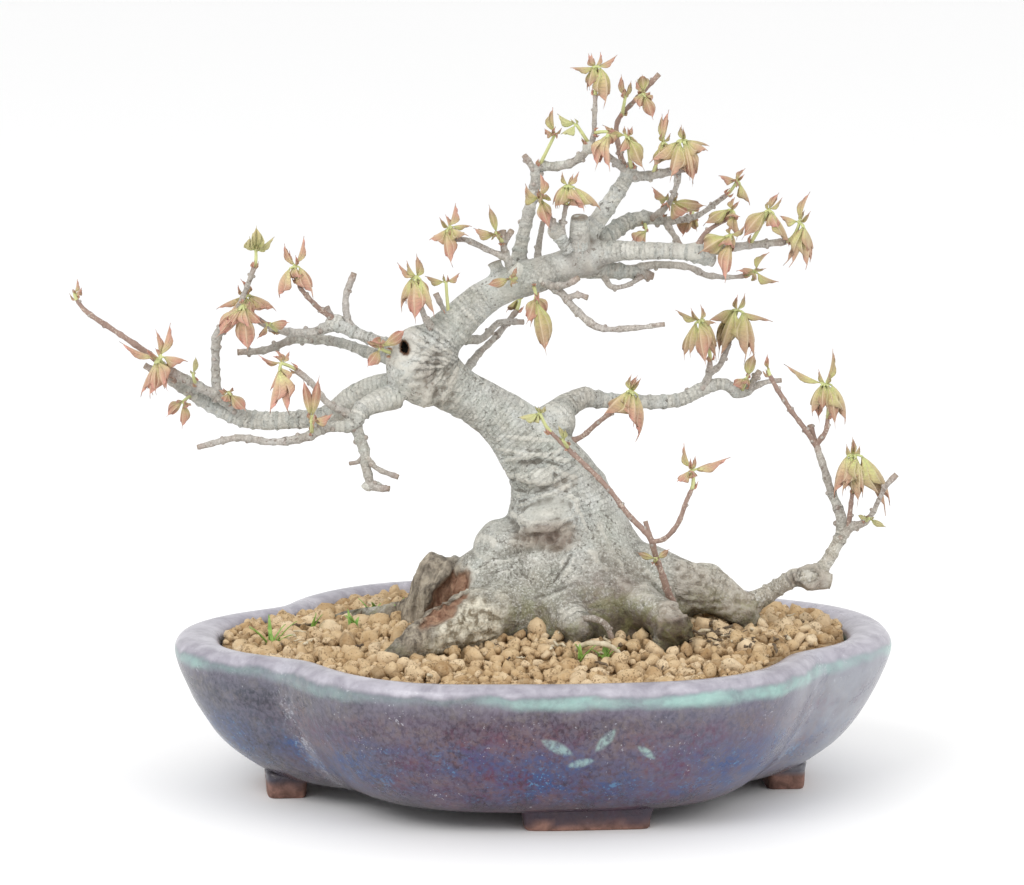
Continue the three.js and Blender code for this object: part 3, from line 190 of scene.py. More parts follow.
# Limbs and twigs. The ones of two stations that carry a spray are only the places of buds.
LIMBS = {
    "right_limb": [
        [5, 108, 3, 4.6], [11, 112.8, 8, 3.6], [15, 114.2, 10, 2.9], [22, 113.6, 12, 2.3],
        [34, 113.2, 14, 2.1], [43, 114, 15, 2], [49, 117, 16, 1.9], [55, 118.5, 16, 1.6],
        [60, 115.8, 17, 1.7], [64, 117.6, 17, 1.1], [68, 119.2, 17.5, 0.8], [72, 119.6, 18, 0.7],
    ],
    "right_fork_near": [[49.5, 117, 16, 1.3], [51, 122, 14, 1.1], [51.2, 125.5, 12, 0.7]],
    "right_fork_far": [
        [51, 121.5, 14.5, 1], [54, 124, 17, 0.9], [56.5, 130, 20, 0.8], [57.2, 133.5, 21, 0.7],
    ],
    "right_stub": [[62, 116.6, 17, 1], [65.6, 122.2, 15, 0.9]],
    "right_bud": [[60.5, 116.5, 16.5, 1], [61.5, 118.8, 14, 0.7]],
    "collar_twig": [
        [9, 101, 0, 1.3], [14, 103, -2, 0.9], [18, 106.5, -4, 0.8], [23, 110.5, -6, 0.8],
        [26, 113, -7, 0.7],
    ],
    "low_limb": [
        [59, 52, -6, 4.2], [66, 54.9, -6, 3], [72, 58.6, -7, 2.6], [77, 61.4, -8, 2.8],
        [82, 61, -8, 2.7], [87, 60, -8, 1.9],
    ],
    "low_rise": [
        [82, 61.5, -8, 2.4], [85.5, 65.5, -8, 2], [88, 70, -7.5, 1.9], [90, 74.5, -7, 1.9],
        [89.6, 79.5, -6, 1.6], [87, 86, -5, 1.3], [84.5, 94, -4, 1.1], [82.2, 101, -3, 1.1],
    ],
    "low_whip": [
        [82.4, 100, -3, 1], [79.5, 104.5, -4, 0.9], [75, 110.5, -5, 0.8], [70.5, 117.5, -6, 0.8],
        [68.6, 121, -6, 0.7],
    ],
    "low_stub": [[82.2, 100.5, -3, 1], [80.4, 106.5, -1, 0.9]],
    "low_leaf_twig": [[82.2, 100.6, -3, 1], [85, 104.5, -4.5, 0.8], [85.6, 108.5, -5, 0.7]],
    "low_fork": [
        [89.8, 73.5, -7, 1.7], [93, 76.3, -9, 1.3], [96, 77.2, -11, 1.1], [99, 80.5, -12, 0.8],
        [102.5, 88, -13, 0.7], [105.8, 91.8, -13, 0.9],
    ],
    "low_fork_mid": [[92, 75.8, -8.5, 0.9], [92.4, 81, -10, 0.8], [93, 86.5, -11, 0.7]],
    "front_shoot": [
        [41, 52, -20, 1.6], [38, 61, -27, 1.1], [35.6, 68, -29, 1], [34, 73, -30, 1],
        [28, 79.5, -29, 0.9], [21, 88.5, -27, 0.8], [10, 99.4, -24, 0.8], [5, 104.2, -23, 0.7],
    ],
    "front_stub": [[34.2, 72.4, -30, 0.9], [32.6, 78, -29, 0.8]],
    "front_side": [
        [34.2, 71.8, -30, 0.9], [38, 72.6, -31, 0.8], [42, 77, -32, 0.8], [44.6, 84, -33, 0.7],
        [46.2, 87.6, -33, 0.7],
    ],
    "front_bud": [[35.4, 66, -28.5, 0.9], [35.9, 66.6, -31, 0.7]],
    "left_limb": [
        [-38, 118, 1, 4.4], [-46, 117, 4, 4], [-53, 114, 6, 3.7], [-59, 109.6, 8, 3.1],
        [-69, 108, 10, 2.6], [-82, 108, 11, 2.7], [-88, 109.6, 11, 2.5], [-96, 113.6, 10, 2.1],
        [-103, 118, 9, 1.6], [-113, 124, 8, 1],
    ],
    "left_upper": [[-84, 109, 10, 1.9], [-92, 115, 6, 1.4], [-99, 118.6, 4, 1.3], [-106, 122.8, 3, 1]],
    "left_whip": [
        [-104, 118.6, 8.6, 1.2], [-109, 125, 5, 1.1], [-115, 129.6, 4, 1], [-122, 134.4, 3, 0.9],
        [-130, 140, 2, 0.8], [-132.6, 143.4, 2, 0.6],
    ],
    "left_post": [
        [-92, 113.5, 7, 1.5], [-92.4, 124, 5, 1.2], [-91.6, 133, 4, 1.3], [-88, 136.8, 2, 0.8],
        [-84, 144.6, 1, 0.8], [-80.8, 152.8, 0, 0.7],
    ],
    "left_post_bud": [[-86.4, 139.6, 1.6, 0.7], [-85.2, 140.6, -1.5, 0.7]],
    "left_front": [
        [-40, 115, -5, 4], [-46, 113, -9, 3.2], [-50.4, 110.4, -12, 2.7], [-53, 106.6, -14, 2.1],
        [-60, 105.8, -15, 1.5], [-66, 103, -16, 1.4], [-76, 101.4, -17, 1.1], [-86, 102.6, -18, 1.1],
        [-98, 99.8, -20, 0.7],
    ],
    "left_front_bud": [[-64.6, 103.8, -16, 1.2], [-64.6, 106, -19, 0.8]],
    "left_front_twig": [
        [-51.6, 108.4, -13, 1.5], [-60, 113, -10, 0.9], [-64.4, 118.6, -9, 0.8], [-69, 122.6, -8, 0.8],
    ],
    "left_drop": [
        [-52, 106.4, -13, 1.7], [-49.4, 99, -15, 1.5], [-48.6, 93, -16, 1.3], [-47, 88.5, -16, 1.2],
        [-42, 87.6, -17, 0.8],
    ],
    "left_drop_side": [[-49, 97.4, -15.4, 1], [-46, 93.8, -17, 0.8], [-39.4, 91, -18, 0.8]],
    "left_drop_spur": [[-49.4, 97.6, -15.4, 0.8], [-51, 95.6, -14, 0.6], [-53.6, 95, -13, 0.6]],
    "upper_left": [
        [-35, 126, 1, 3.2], [-47, 127.4, 9, 1.9], [-54, 130, 12, 1.6], [-62, 131.6, 14, 1.5],
        [-70, 131.4, 15, 1.3], [-78, 128.4, 15, 1.2], [-86, 127.8, 15, 1],
    ],
    "upper_left_front": [
        [-40, 129, -2, 2], [-50, 132.8, 2, 1.7], [-57, 135.6, 4, 1.9], [-64, 133.8, 6, 1.3],
        [-72, 133.8, 7, 1.2], [-79, 136.6, 7, 0.9], [-82, 139.2, 7, 0.7],
    ],
    "upper_left_shoot": [
        [-58, 137.4, 4, 1.1], [-63, 141.4, 1, 0.8], [-67.4, 146.4, -1, 0.8], [-68.2, 148.4, -2, 0.7],
    ],
    "upper_left_stub": [[-58, 137, 5, 1.1], [-60.2, 140.8, 7, 1]],
    "upper_left_rise": [
        [-51, 132.6, 2.5, 1.3], [-54, 137.6, 4, 1], [-54.4, 144, 5, 0.9], [-52, 151, 5, 0.9],
    ],
    "upper_left_bud": [[-74, 133.8, 7.2, 0.8], [-76.4, 135.4, 4, 0.7]],
    "knot_bud": [[-41, 127.6, -6, 1.6], [-43.8, 127.6, -9, 0.9]],
    "elbow_stub": [[-25, 138, -1, 1], [-28.4, 145, 1, 0.8]],
    "elbow_bud": [[-24.5, 138, -3, 1], [-25.4, 143.6, -6, 0.7]],
    "elbow_front_bud": [[-29, 134, -5, 1.2], [-31.8, 138.6, -9, 0.8], [-33.2, 144.6, -11, 0.7]],
    "back_twig_high": [
        [-21, 131.6, 2, 1.6], [-15, 131.8, 8, 1.1], [-10, 136.4, 12, 0.9], [-3, 136.6, 15, 0.8],
    ],
    "back_twig_low": [
        [-20, 122, 3, 1.6], [-16, 127.4, 9, 1], [-11, 132.4, 13, 0.9], [-5, 140, 17, 0.8],
    ],
    "crown_left": [[-5.6, 151.6, -3, 1.8], [-8.4, 157, -5, 1.2], [-9, 163.4, -6, 0.9]],
    "crown_left_side": [
        [-8, 155.4, -4.6, 1.1], [-13, 157.6, -7, 0.9], [-19.6, 160.6, -9, 0.8],
        [-22.8, 160.8, -9.5, 0.7],
    ],
    "crown_left_tip": [[-8.6, 159.6, -5.4, 0.9], [-6.4, 163.4, -7, 0.8]],
    "crown_left_bud": [[-8.7, 160, -5.5, 0.9], [-10.2, 160.6, -8.4, 0.7]],
    "crown_stub": [[-9, 148, 0, 2.4], [-11.4, 154, 2, 1.8]],
    "crown_low_bud": [[-5, 149.4, -5, 1.4], [-6, 149.2, -8.2, 0.8]],
    "apex_left": [
        [-5, 152, 3, 2.6], [-3.6, 159.6, 4, 2], [-1.6, 168, 5, 1.8], [0.2, 176, 6, 1.6],
        [1.4, 181.6, 6, 1.5], [6, 182, 5, 1.4], [11, 183, 3, 1.3], [16, 187.4, 1, 1.2],
        [17.2, 191, 1, 0.8], [17.5, 197, 1, 0.7], [17.7, 202.6, 1, 0.7],
    ],
    "apex_left_stub": [[0.6, 180.4, 6, 1.1], [-2.8, 185.2, 8, 0.9]],
    "apex_left_twig": [[1.4, 181.8, 5.6, 0.9], [4.2, 187.2, 3, 0.7]],
    "apex_mid_stub": [[16, 188.4, 1, 1], [12.8, 193.2, -1, 0.8]],
    "apex_mid_bud": [[17.4, 191.6, 1, 0.7], [19.8, 192.4, -2.6, 0.6]],
    "apex_right": [
        [13, 158, 1, 3.4], [18, 165.6, 3, 2.7], [22.4, 172, 4, 2.4], [26.6, 178.4, 5, 2.2],
        [28.4, 182.6, 5, 1.8],
    ],
    "apex_right_left": [[27.4, 179.6, 5, 1.2], [23, 183.8, 3, 1], [18, 187.6, 1.4, 0.9]],
    "apex_right_up": [
        [26.4, 180.6, 5, 1.1], [24.8, 186, 7, 0.9], [24, 194.6, 8, 0.8], [29.4, 201.4, 8, 0.8],
        [36, 208.6, 7, 0.8],
    ],
    "apex_up_bud_low": [[25.4, 196.4, 8, 0.8], [25.6, 198.4, 5.4, 0.6]],
    "apex_up_bud_high": [[30.2, 202.2, 8, 0.8], [31.4, 202.6, 5, 0.6]],
    "apex_front_bud": [[28.2, 181, 4, 1.1], [27.4, 184.6, 0, 0.8]],
    "apex_right_arm": [
        [28, 179, 5, 1.6], [34, 179.4, 2, 1.3], [40, 180.6, -1, 1.2], [43.6, 181.2, -3, 1],
    ],
    "apex_arm_bud": [[34.4, 179.6, 1.6, 1], [35.4, 183.4, -1, 0.7]],
    "apex_arm_low": [
        [41.6, 180, -1.6, 1], [41, 176, 2, 0.8], [38.4, 170.4, 8, 0.8], [34, 166.8, 12, 1],
    ],
    "crown_cut": [[13, 156, -1, 3.2], [13.2, 167.4, -4, 2.7]],
    "crown_front": [[10, 157.6, -3, 2], [6.6, 163, -5.6, 1.7], [4, 167.6, -8, 0.8]],
    "crown_front_side": [[8, 161.6, -5, 1.1], [8.6, 167, -7, 0.7], [9.4, 171, -9, 0.6]],
    "crown_back_spur": [[1, 153, 3.6, 1.3], [1.4, 158.6, 8, 0.9], [2.6, 166, 10, 0.8]],
    "right_main": [
        [15, 156, 1, 4.2], [24, 157.4, -1, 3.1], [32, 157.4, -4, 2.6], [40, 157.4, -6, 2.4],
        [47, 157, -8, 2.3], [53, 157.6, -9, 1.4], [60, 158.8, -10, 1.2], [68, 159.6, -11, 1.1],
        [73, 160.2, -11.5, 0.9],
    ],
    "right_main_cut": [[46, 156.6, -7, 2.2], [52, 154.4, -5, 1.8]],
    "right_main_twig": [[47.4, 158.6, -7.6, 1.3], [50, 163, -5, 0.8], [55.6, 166.6, -3, 0.7]],
    "right_main_bud": [[53, 158, -9.2, 1], [56, 160, -12.4, 0.7]],
    "right_main_tip": [[62.6, 159.4, -10.4, 0.8], [64.8, 163, -12.6, 0.7]],
    "right_upper": [
        [15, 158, 4, 3.2], [22, 162.4, 8, 2.7], [27, 165.8, 11, 2.4], [33, 167, 13, 2],
        [38, 166.2, 14, 1.3], [47, 167.6, 16, 0.9], [52.6, 171.4, 17, 0.8], [55.8, 173.8, 17, 0.7],
    ],
    "right_upper_twig": [[38, 166.2, 14, 1], [40.6, 161.8, 10, 0.9], [42.6, 158.8, 6, 0.8]],
    "right_upper_bud": [[37, 168, 13, 0.9], [38.4, 169.8, 10, 0.7]],
    "right_upper_low_bud": [[32, 165.6, 12, 1], [32.4, 164.2, 8.4, 0.7]],
    "right_upper_far_bud": [[45, 167.2, 15.6, 0.8], [45.8, 168.2, 19, 0.7]],
    "right_lower": [[12, 153, 2, 3.6], [22, 151.8, 5, 2.6], [29, 151.2, 7, 2], [34.6, 150, 8, 1.2]],
    "right_lower_twig": [
        [28, 152, 6.6, 1.3], [36, 153.4, 9, 1.1], [45, 152.6, 11, 1], [50, 150.4, 12, 0.9],
        [57, 149.8, 13, 0.7], [61, 150.2, 13, 0.6],
    ],
    "right_lower_loop": [
        [20, 151, 3.6, 1], [22.4, 147, 1, 0.8], [27, 147.4, 2, 0.7], [31.4, 150, 5, 0.7],
    ],
    "hanging_twig": [
        [3, 148.4, -2.6, 1.6], [8, 145, -6, 1.1], [13, 139.4, -8, 1], [19, 135, -10, 0.9],
        [28, 134.8, -12, 0.8], [38, 136, -13, 0.7],
    ],
    "hanging_spur": [[5, 147, -5, 1.1], [9.6, 147.6, -9, 0.9], [13, 149.6, -11, 0.8]],
    "hanging_side": [[9.6, 143.6, -6.8, 0.9], [12.8, 144.6, -9, 0.7], [15.6, 143.8, -10, 0.7]],
    "hanging_bud": [[0, 147, -4, 1.4], [0.8, 145.6, -8.4, 0.8]],
    "left_under_bud": [[-99, 115.4, 9.6, 1.2], [-101, 114.6, 5, 0.8]],
    "left_mid_bud": [[-88.4, 112.4, 8.4, 1], [-89, 115, 3, 0.7]],
    "left_far_bud": [[-98, 118.2, 4.2, 0.9], [-99.4, 120, 1.6, 0.6]],
    "front_mid_bud": [[10, 99.6, -24, 0.9], [9.2, 100.8, -26.4, 0.6]],
    "low_fork_bud": [[97, 78, -11.4, 0.9], [97.4, 78.4, -14, 0.6]],
    "rootlet": [
        [9, 51, -22, 1.6], [13, 48.6, -29, 1.1], [17, 49, -31.4, 1], [21, 47.4, -32, 0.9],
        [23, 43, -32, 0.8],
    ],
}

# Sprays on the limbs of the same names: where the leaves' node is from the limb's end, the hanging
# leaves and the upright folded ones. Each leaf has x, z and depth of its tip from the node, and its width.
SPRAYS = {
    "apex_left": [
        [0, 8, 0], [[3.6, -12.5, -1, 5.5], [-2.5, -7, 3, 4]],
        [[-7.2, -0.6, -2, 2.8], [6.6, 3, 1, 2.6], [-1, 4, 2.5, 3.2]],
    ],
    "apex_left_twig": [[1.8, 4, -1], [[-3, 2, -2, 2.2]], [[-0.4, 8, 0, 3.2]]],
    "apex_mid_stub": [[-0.5, 0.8, -0.4], [[-4.8, -2.2, -1.5, 3]], [[-5.6, 3.2, 0.5, 3.2]]],
    "apex_mid_bud": [[1.4, -0.2, -1.6], [[-4.4, -10.6, -1, 4.2], [0.2, -11.4, -2, 3.4]], []],
    "apex_up_bud_low": [[0.6, 3.2, -1], [], [[-1.2, 7.2, 0, 2.4], [1.8, 5.4, -1, 1.8]]],
    "apex_up_bud_high": [
        [0.2, 0.6, -1.6], [[2.6, -7.4, -2, 3.8], [-0.6, 5.8, -1.4, 3.4]], [[-2.4, 3.8, -1, 2]],
    ],
    "apex_front_bud": [
        [-0.6, 6.2, -2], [[4.2, -9.4, -3, 4.8], [3.8, -3, 1.4, 3.6]],
        [[-7, 3.4, 2.5, 3.2], [1.6, 3, 2, 1.8]],
    ],
    "apex_arm_bud": [
        [1.8, 5.6, -2], [[-2.8, -7, -3, 4.4], [3.6, -6.4, 1.5, 4.2]],
        [[1.8, 9.4, 0, 3], [-0.2, 8.4, 1.4, 2.2]],
    ],
    "apex_right_arm": [
        [-0.8, 8.4, -2.4],
        [[-2.6, -11.4, -3, 5.4], [3.6, -13.6, -1, 5], [7.6, -1, -3, 5], [-9, -6.6, -1, 4.2]],
        [[8, -1.4, 2, 2]],
    ],
    "right_upper": [[2.8, 4, -0.6], [[-5.4, 2, -1, 3.2], [3.6, -7, -1, 3.6]], [[2.4, 3.8, 0, 1.8]]],
    "right_upper_bud": [[0.6, 2.2, -2], [[11.4, -1, 1, 3.6], [6, -3.6, -2, 5]], [[-4.8, 4.6, -1, 3]]],
    "right_upper_low_bud": [[0.2, -0.4, -1.8], [[-2.4, -5.4, -1.4, 4.6], [-4.6, -3.6, 0.6, 2.8]], []],
    "right_upper_far_bud": [[0.2, 0.4, 2], [[1.4, -6, 1, 3.4], [-2.6, -8, -1, 4.6]], []],
    "right_main_twig": [[1.6, 2.6, -1], [[-9, -4, -2, 4], [0.8, -8, -1, 3.4]], [[0.8, 4, 0, 2.2]]],
    "right_main_tip": [
        [2.8, 6.4, -2.4], [[-7.8, -8.4, -2, 5], [5.4, -10.4, 0.6, 4.4]], [[3, 5.2, 0, 2.6]],
    ],
    "right_main": [
        [3.6, 5.4, -1], [[1.8, -13, -2, 4.6], [4, -7.4, 1, 3.2], [-5.6, 2.6, -1, 3.2]],
        [[3.2, 9, 0, 2.6]],
    ],
    "right_main_bud": [[0.6, 2.2, -2], [[-9, -5, -1.6, 6], [-2, -13, -3, 4.2]], []],
    "right_lower_twig": [
        [3, 1.2, 0], [[6.8, -3.4, -1.4, 3.2]], [[-5.6, 0.4, -2.6, 2.6], [3.6, 6.2, 0, 2.8]],
    ],
    "crown_front_side": [
        [0.4, 5.2, -1],
        [[-5.4, -6, -2, 4.2], [5.6, -7, -3.4, 4.2], [10.4, -6.4, 0.6, 4.4], [-3.6, -6.6, 2.4, 3]],
        [[1.6, 3.6, 3, 1.8]],
    ],
    "crown_front": [
        [-2, 5, -1.6], [[-5.4, 3.6, -1, 4.4], [2.8, -8.4, -1.6, 4.2]],
        [[-0.6, 7.4, 0, 3.2], [3.4, -5, -3, 3]],
    ],
    "crown_left_bud": [[-0.4, 1.6, -1.8], [[-6.8, 2.4, -2, 3.2]], [[-2.4, 8.8, 0, 3]]],
    "crown_left_side": [
        [-1.6, 3.2, -0.8], [[-6, -2.4, -2, 4.2], [5, -2.6, -2.4, 4.6], [1.2, -10.6, -3, 4]],
        [[1.4, 7.4, 0.4, 3.2], [6.6, 0.6, 1, 2]],
    ],
    "elbow_front_bud": [
        [-0.6, 5, -1], [[-0.4, -13, -3, 5.4], [4.6, -11, -2, 4.2], [-4, -10.4, 3, 3.8]],
        [[0.2, 6.8, 3, 2.4], [-6, 4.2, -1.6, 2.4]],
    ],
    "elbow_bud": [[0, 4.6, -0.6], [], [[-5.8, 2.6, -1, 2.8], [4, 3, 0.6, 2.2]]],
    "crown_low_bud": [[-0.6, 0.4, -1.6], [[-7.2, -1.8, -1, 2.8]], [[1.6, 3.4, -1, 1.6]]],
    "hanging_bud": [[-0.2, -0.8, -1.6], [[2.4, -16.4, -2, 5], [-1.6, -9.6, 1.4, 3.6]], []],
    "back_twig_low": [[1, 3, 1], [[-4.4, -4, 1, 3.2]], []],
    "knot_bud": [[-0.6, 1.6, -1.8], [[7.6, 6, -2.4, 3.4], [-4, -5, -2, 3.6]], [[-4.4, 2, 0.8, 2.2]]],
    "upper_left_shoot": [
        [-0.8, 4.4, -0.6], [[-7, -8.6, -2, 4.8], [5.4, -9.6, -1, 5]],
        [[-3.4, 7, 0, 2.4], [2.2, 9, 0.6, 2.4]],
    ],
    "left_post": [[0.4, 4.4, 0], [[0.4, 8.2, -1, 4]], [[5, 4.6, 1, 2.2]]],
    "upper_left_front": [
        [-1.4, 5.4, -2.6], [[-5.2, -6, -1.6, 4.2], [6.2, -4, -1, 4.4], [9.4, -4.6, 1.4, 4.6]],
        [[-0.4, 5.4, -3, 2.8], [-8.4, -4.4, 2.6, 2.4]],
    ],
    "left_post_bud": [
        [1, 1.2, -2],
        [[-5, -6, -2, 4], [1.6, -13.4, -4.5, 5.4], [6, -6.2, 0.6, 3.6], [-7.9, -9.4, -1, 4.6]], [],
    ],
    "upper_left_bud": [[-0.6, 1, -2], [[6.8, 0.8, -1, 2.8]], [[-3, -4.4, -1, 2.2]]],
    "left_front_twig": [
        [-4, 2, -1], [[-3.4, -14.4, -2, 5], [2.8, -14, -3, 5]], [[-1.6, 4, 0, 2], [1.8, 3.8, 0.6, 2]],
    ],
    "left_front_bud": [
        [0, 1.8, -1.6], [[6.2, 1.4, 1, 3]], [[-2.2, 12.6, 0, 3.6], [2.4, 13.4, -1.6, 3.8]],
    ],
    "left_whip": [[-0.4, 1.4, 0], [[2.4, 1.6, -1, 2]], [[0.8, 4.4, 0.6, 1.6]]],
    "left_upper": [
        [-2.4, 3.4, -2], [[-3, -11.4, -2, 4.6], [1.4, -8.4, -4, 4], [8, -1.4, 1, 4.2]],
        [[-12, 4.6, -1, 2.8], [3, 10.6, 0, 3.2], [-1, 8.6, 1.6, 2.4]],
    ],
    "left_under_bud": [[-0.6, -0.8, -1.6], [[-5, -4.6, -1, 3.2], [-0.6, -7.8, -1.4, 2.8]], []],
    "left_mid_bud": [[0.4, 1.2, -1.4], [[5.4, -5.6, -2, 3.8]], [[-3, 0.8, 0, 2]]],
    "left_far_bud": [[0.6, 1.4, -1], [], [[0.8, 5.4, 0, 2.2]]],
    "front_shoot": [[-3, 5.6, -0.6], [[-6.4, 0, -1, 3], [-2.6, -2.6, 1, 2.4]], [[0.6, 2.6, -1, 1.6]]],
    "front_mid_bud": [[-0.6, 1.2, -1], [], [[-1.4, 4.4, 0, 1.8], [0.6, 3.4, -0.6, 1.4]]],
    "front_side": [
        [0, 5.2, -0.4], [[-5, -2.6, -2, 3.2], [10.6, 4.6, -1, 3.2]],
        [[-2.6, 8, 0, 2.4], [5.2, 2.8, 1, 2.2]],
    ],
    "front_bud": [[0, 0.4, -1.6], [], [[-5.8, 2.2, -1, 2.8], [3.8, 3, 0, 2.6]]],
    "collar_twig": [
        [2, 3.4, -1], [[-8, -7.4, -1.6, 6], [0.4, -10, -4, 4.4], [1.8, -15.8, 0, 5]],
        [[0.2, 5, 0, 1.8], [2.4, 3.4, 1, 1.6]],
    ],
    "right_fork_near": [
        [-3, 11.6, -1], [[1.8, -12.8, -5.5, 5]], [[-7, 3.8, 0, 2.6], [4.8, -0.6, 0.8, 2]],
    ],
    "right_fork_far": [
        [1.8, 6.4, 0.6], [[0.8, -15, -2.4, 6], [-8, -3.6, -1, 4.8], [3.4, -12.6, 1, 4.4]],
        [[10.6, -3, 0, 2.6]],
    ],
    "right_bud": [[0.4, 1.6, -1.4], [[-4.6, -1.8, -1, 3.4], [2.4, 7.6, 0, 3.2]], []],
    "low_leaf_twig": [
        [-0.8, 9.6, 0],
        [[-4.4, -9, -2, 5], [-1.4, -12.4, 2, 4.2], [6.4, -11.4, -1, 6], [2.4, -12.2, -4, 4]],
        [[-12.4, 6, -1, 2.8], [2.2, 10.6, 0.6, 2.8]],
    ],
    "low_fork_mid": [
        [0, 10.6, 0],
        [[-4.4, -12, -1.6, 6.4], [1.8, -15, -3, 5], [7, -17, 0, 6], [11, -15, 2, 6], [-1.4, -9, -4, 5]],
        [[-2, 2.8, 2.4, 1.8], [2.4, 2.6, 3, 1.8]],
    ],
    "low_fork_bud": [[0.4, 0.6, -1.4], [], [[5, -2.4, -1, 2.4], [-3.4, 1.4, -2, 1.8]]],
    "low_whip": [[-0.4, 1.6, 0], [], [[-0.8, 4.6, 0, 1.8]]],
}

# Grass tufts: x and y, and for each blade its tip's x, z and y from there, and its width
TUFTS = {
    "left": [[-76, -16], [[-6.5, 7.5, -3, 2], [5.5, 9, 1, 2], [-1.5, 11, 2.5, 2], [7.5, 4.5, -4, 2]]],
    "front": [[20.5, -42], [[-5.5, 5, -2.5, 2], [4.5, 6.5, -1.5, 2], [0.5, 8, 2, 2]]],
}

# Shoots of this year: brown, smooth and a little thinner than their solids
YOUNG_SHOOTS = {
    "front_shoot", "front_stub", "front_side", "low_whip", "low_stub", "low_leaf_twig", "low_fork_mid",
    "right_main_twig", "apex_right_up", "collar_twig", "left_whip", "upper_left_shoot",
}

# Limbs of the first radius or more at their start merge into the skin, as far as they keep the second
THICK_RADIUS = 2.2
SKIN_RADIUS = 1.3

# The trunk, the stub, the roots and the first two thick limbs have coarse lumps and lines along them
COARSE_PATHS = 12

# A twig's old buds: their distance and how far it varies, the swelling's share and its width, and the
# size of their nubs with what a thicker twig adds to it
BUD_PITCH = (4.2, 1.4)
BUD_SWELL = (0.22, 0.6)
NUB_SIZE = (0.3, 0.28)

# How much of their solid's radius thick limbs keep, and how much young shoots lose
THICK_SLIMNESS = 0.94
YOUNG_SLIMMING = 0.14

# How far back the wood is pushed where it counts as hollow, and how high over the soil it is dampened
# and mossy, from not at all to wholly; nearest the soil the same mask lays painted contact shade
HOLLOW_DEPTH = 2.6
DAMP_AND_SHADE_HEIGHT = (12, 1)

# The relief of the wood, for painted shade in its sunk places and painted highlight on its raised ones:
# rounds of averaging, and the weight of what they show
RELIEF_ROUNDS = ((3, 1.3), (12, 0.55))

# Scars on the wood's front: centre, half-widths, tilt, height of the rim, depth of the dish inside it
SCARS = [
    [[4, 81.2], [8.6, 4.2], 0.1, 0.55, 0.2],
    [[2.2, 91], [4.0, 2.6], 0.0, 0.0, -1.0],
    [[-14, 70], [4.4, 5.2], 0.3, 0.0, -0.6],
    [[-36.5, 128.4], [5.2, 6.0], 0.1, 0.35, 0.0],
    [[80.5, 61.6], [4.0, 2.4], 0.0, 0.5, 0.5],
]

# Gnarled patches: centre, half-widths, tilt, height
GNARLS = [
    [[5, 73.4], [10.5, 5.0], 0.1, 1.3],
    [[9, 90], [4, 3], 0.1, 0.4],
    [[-29, 120], [8.5, 11], -0.3, 0.45],
    [[-36, 128], [7.5, 8], 0.0, 0.25],
    [[49, 58], [11, 7], -0.2, 0.65],
    [[60, 51], [8, 6], -0.3, 0.6],
    [[81, 61], [6, 4], 0.0, 0.9],
    [[41, 47], [7, 8], 0.0, 0.9],
    [[47, 42], [4, 4], 0.0, 0.6],
    [[20, 66], [7, 5], 0.5, 0.25],
    [[30, 60], [6, 8], 0.5, 0.35],
    [[6, 161], [4, 4], 0.0, 0.4],
    [[14, 115], [4, 4], 0.0, 0.3],
]

# Brown stains: centre, half-widths, depth of colour
STAINS = [
    [[20, 57], [10, 7], 1.0],
    [[6, 74], [9, 4.5], 1.0],
    [[43, 43], [6, 6], 2.4],
    [[72, 58], [15, 7], 0.7],
    [[55, 47], [7, 4], 1.0],
    [[26, 47], [16, 4], 1.4],
    [[-31, 120], [3, 6], 0.5],
    [[12, 155], [17, 8], 0.6],
    [[45, 160], [14, 5], 0.4],
]

# Folds and cracks of the bark: start, end, width, height (a crack goes inwards)
FOLDS = [
    [[5.5, 59.5], [11, 67.5], 0.6, -0.9],
    [[-10, 99.5], [10, 95.5], 0.9, 0.9],
    [[-9, 96], [8, 98.6], 0.8, 0.8],
    [[-8, 103], [6, 101.5], 0.8, 0.6],
    [[-9, 93], [-1, 89.5], 0.8, 0.9],
    [[3, 94.6], [13, 90], 0.8, 0.8],
    [[-9, 87.4], [-1, 86.6], 0.6, -0.5],
    [[-11, 85], [-4, 78], 0.9, 0.6],
    [[10, 88], [16, 74], 1.0, 0.6],
    [[18, 78], [27, 62], 1.2, 0.5],
    [[15, 70], [30, 55], 1.2, 0.7],
    [[26, 70], [40, 56], 1.2, 0.5],
    [[0, 55], [14, 60], 0.8, -0.5],
    [[-39, 119], [-27, 131], 1.0, 0.7],
    [[-33, 110], [-25, 127], 1.0, 0.9],
    [[-27, 112], [-22, 124], 0.9, 0.7],
    [[-29, 112], [-28, 133], 0.8, -0.7],
]

# Hollows: centre, half-widths, tilt, depth
HOLLOWS = [
    [[-37.6, 129.4], [1.6, 2.9], 0.3, 5.0],
    [[-25.0, 54.6], [4.6, 11.4], -0.68, 3.6],
]

# The rotten stub and the pale crust over it: centre, half-widths, tilt
STUB_OVAL = ((-31, 54), (11.5, 16), -0.3)
CRUST_OVAL = ((-19, 45), (9, 14), -0.8)

# The pot's wall from under its floor over the lip to the floor inside: share of the outline, height
WALL_PROFILE = [
    [0.36, 5.6], [0.6, 5.6], [0.71, 5.8], [0.757, 7.4], [0.82, 11.6], [0.873, 16.4], [0.935, 25],
    [0.975, 33], [0.993, 38], [1, 41.2], [0.996, 43.2], [0.985, 44.8], [0.965, 45.7], [0.945, 46],
    [0.915, 45.8], [0.893, 45.0], [0.88, 43.6], [0.874, 42], [0.85, 32], [0.76, 16], [0.66, 11],
    [0.45, 11],
]
POT_STEPS = 240
WALL_FROM = 0.72  # the share of the outline beyond which the wall is a little uneven

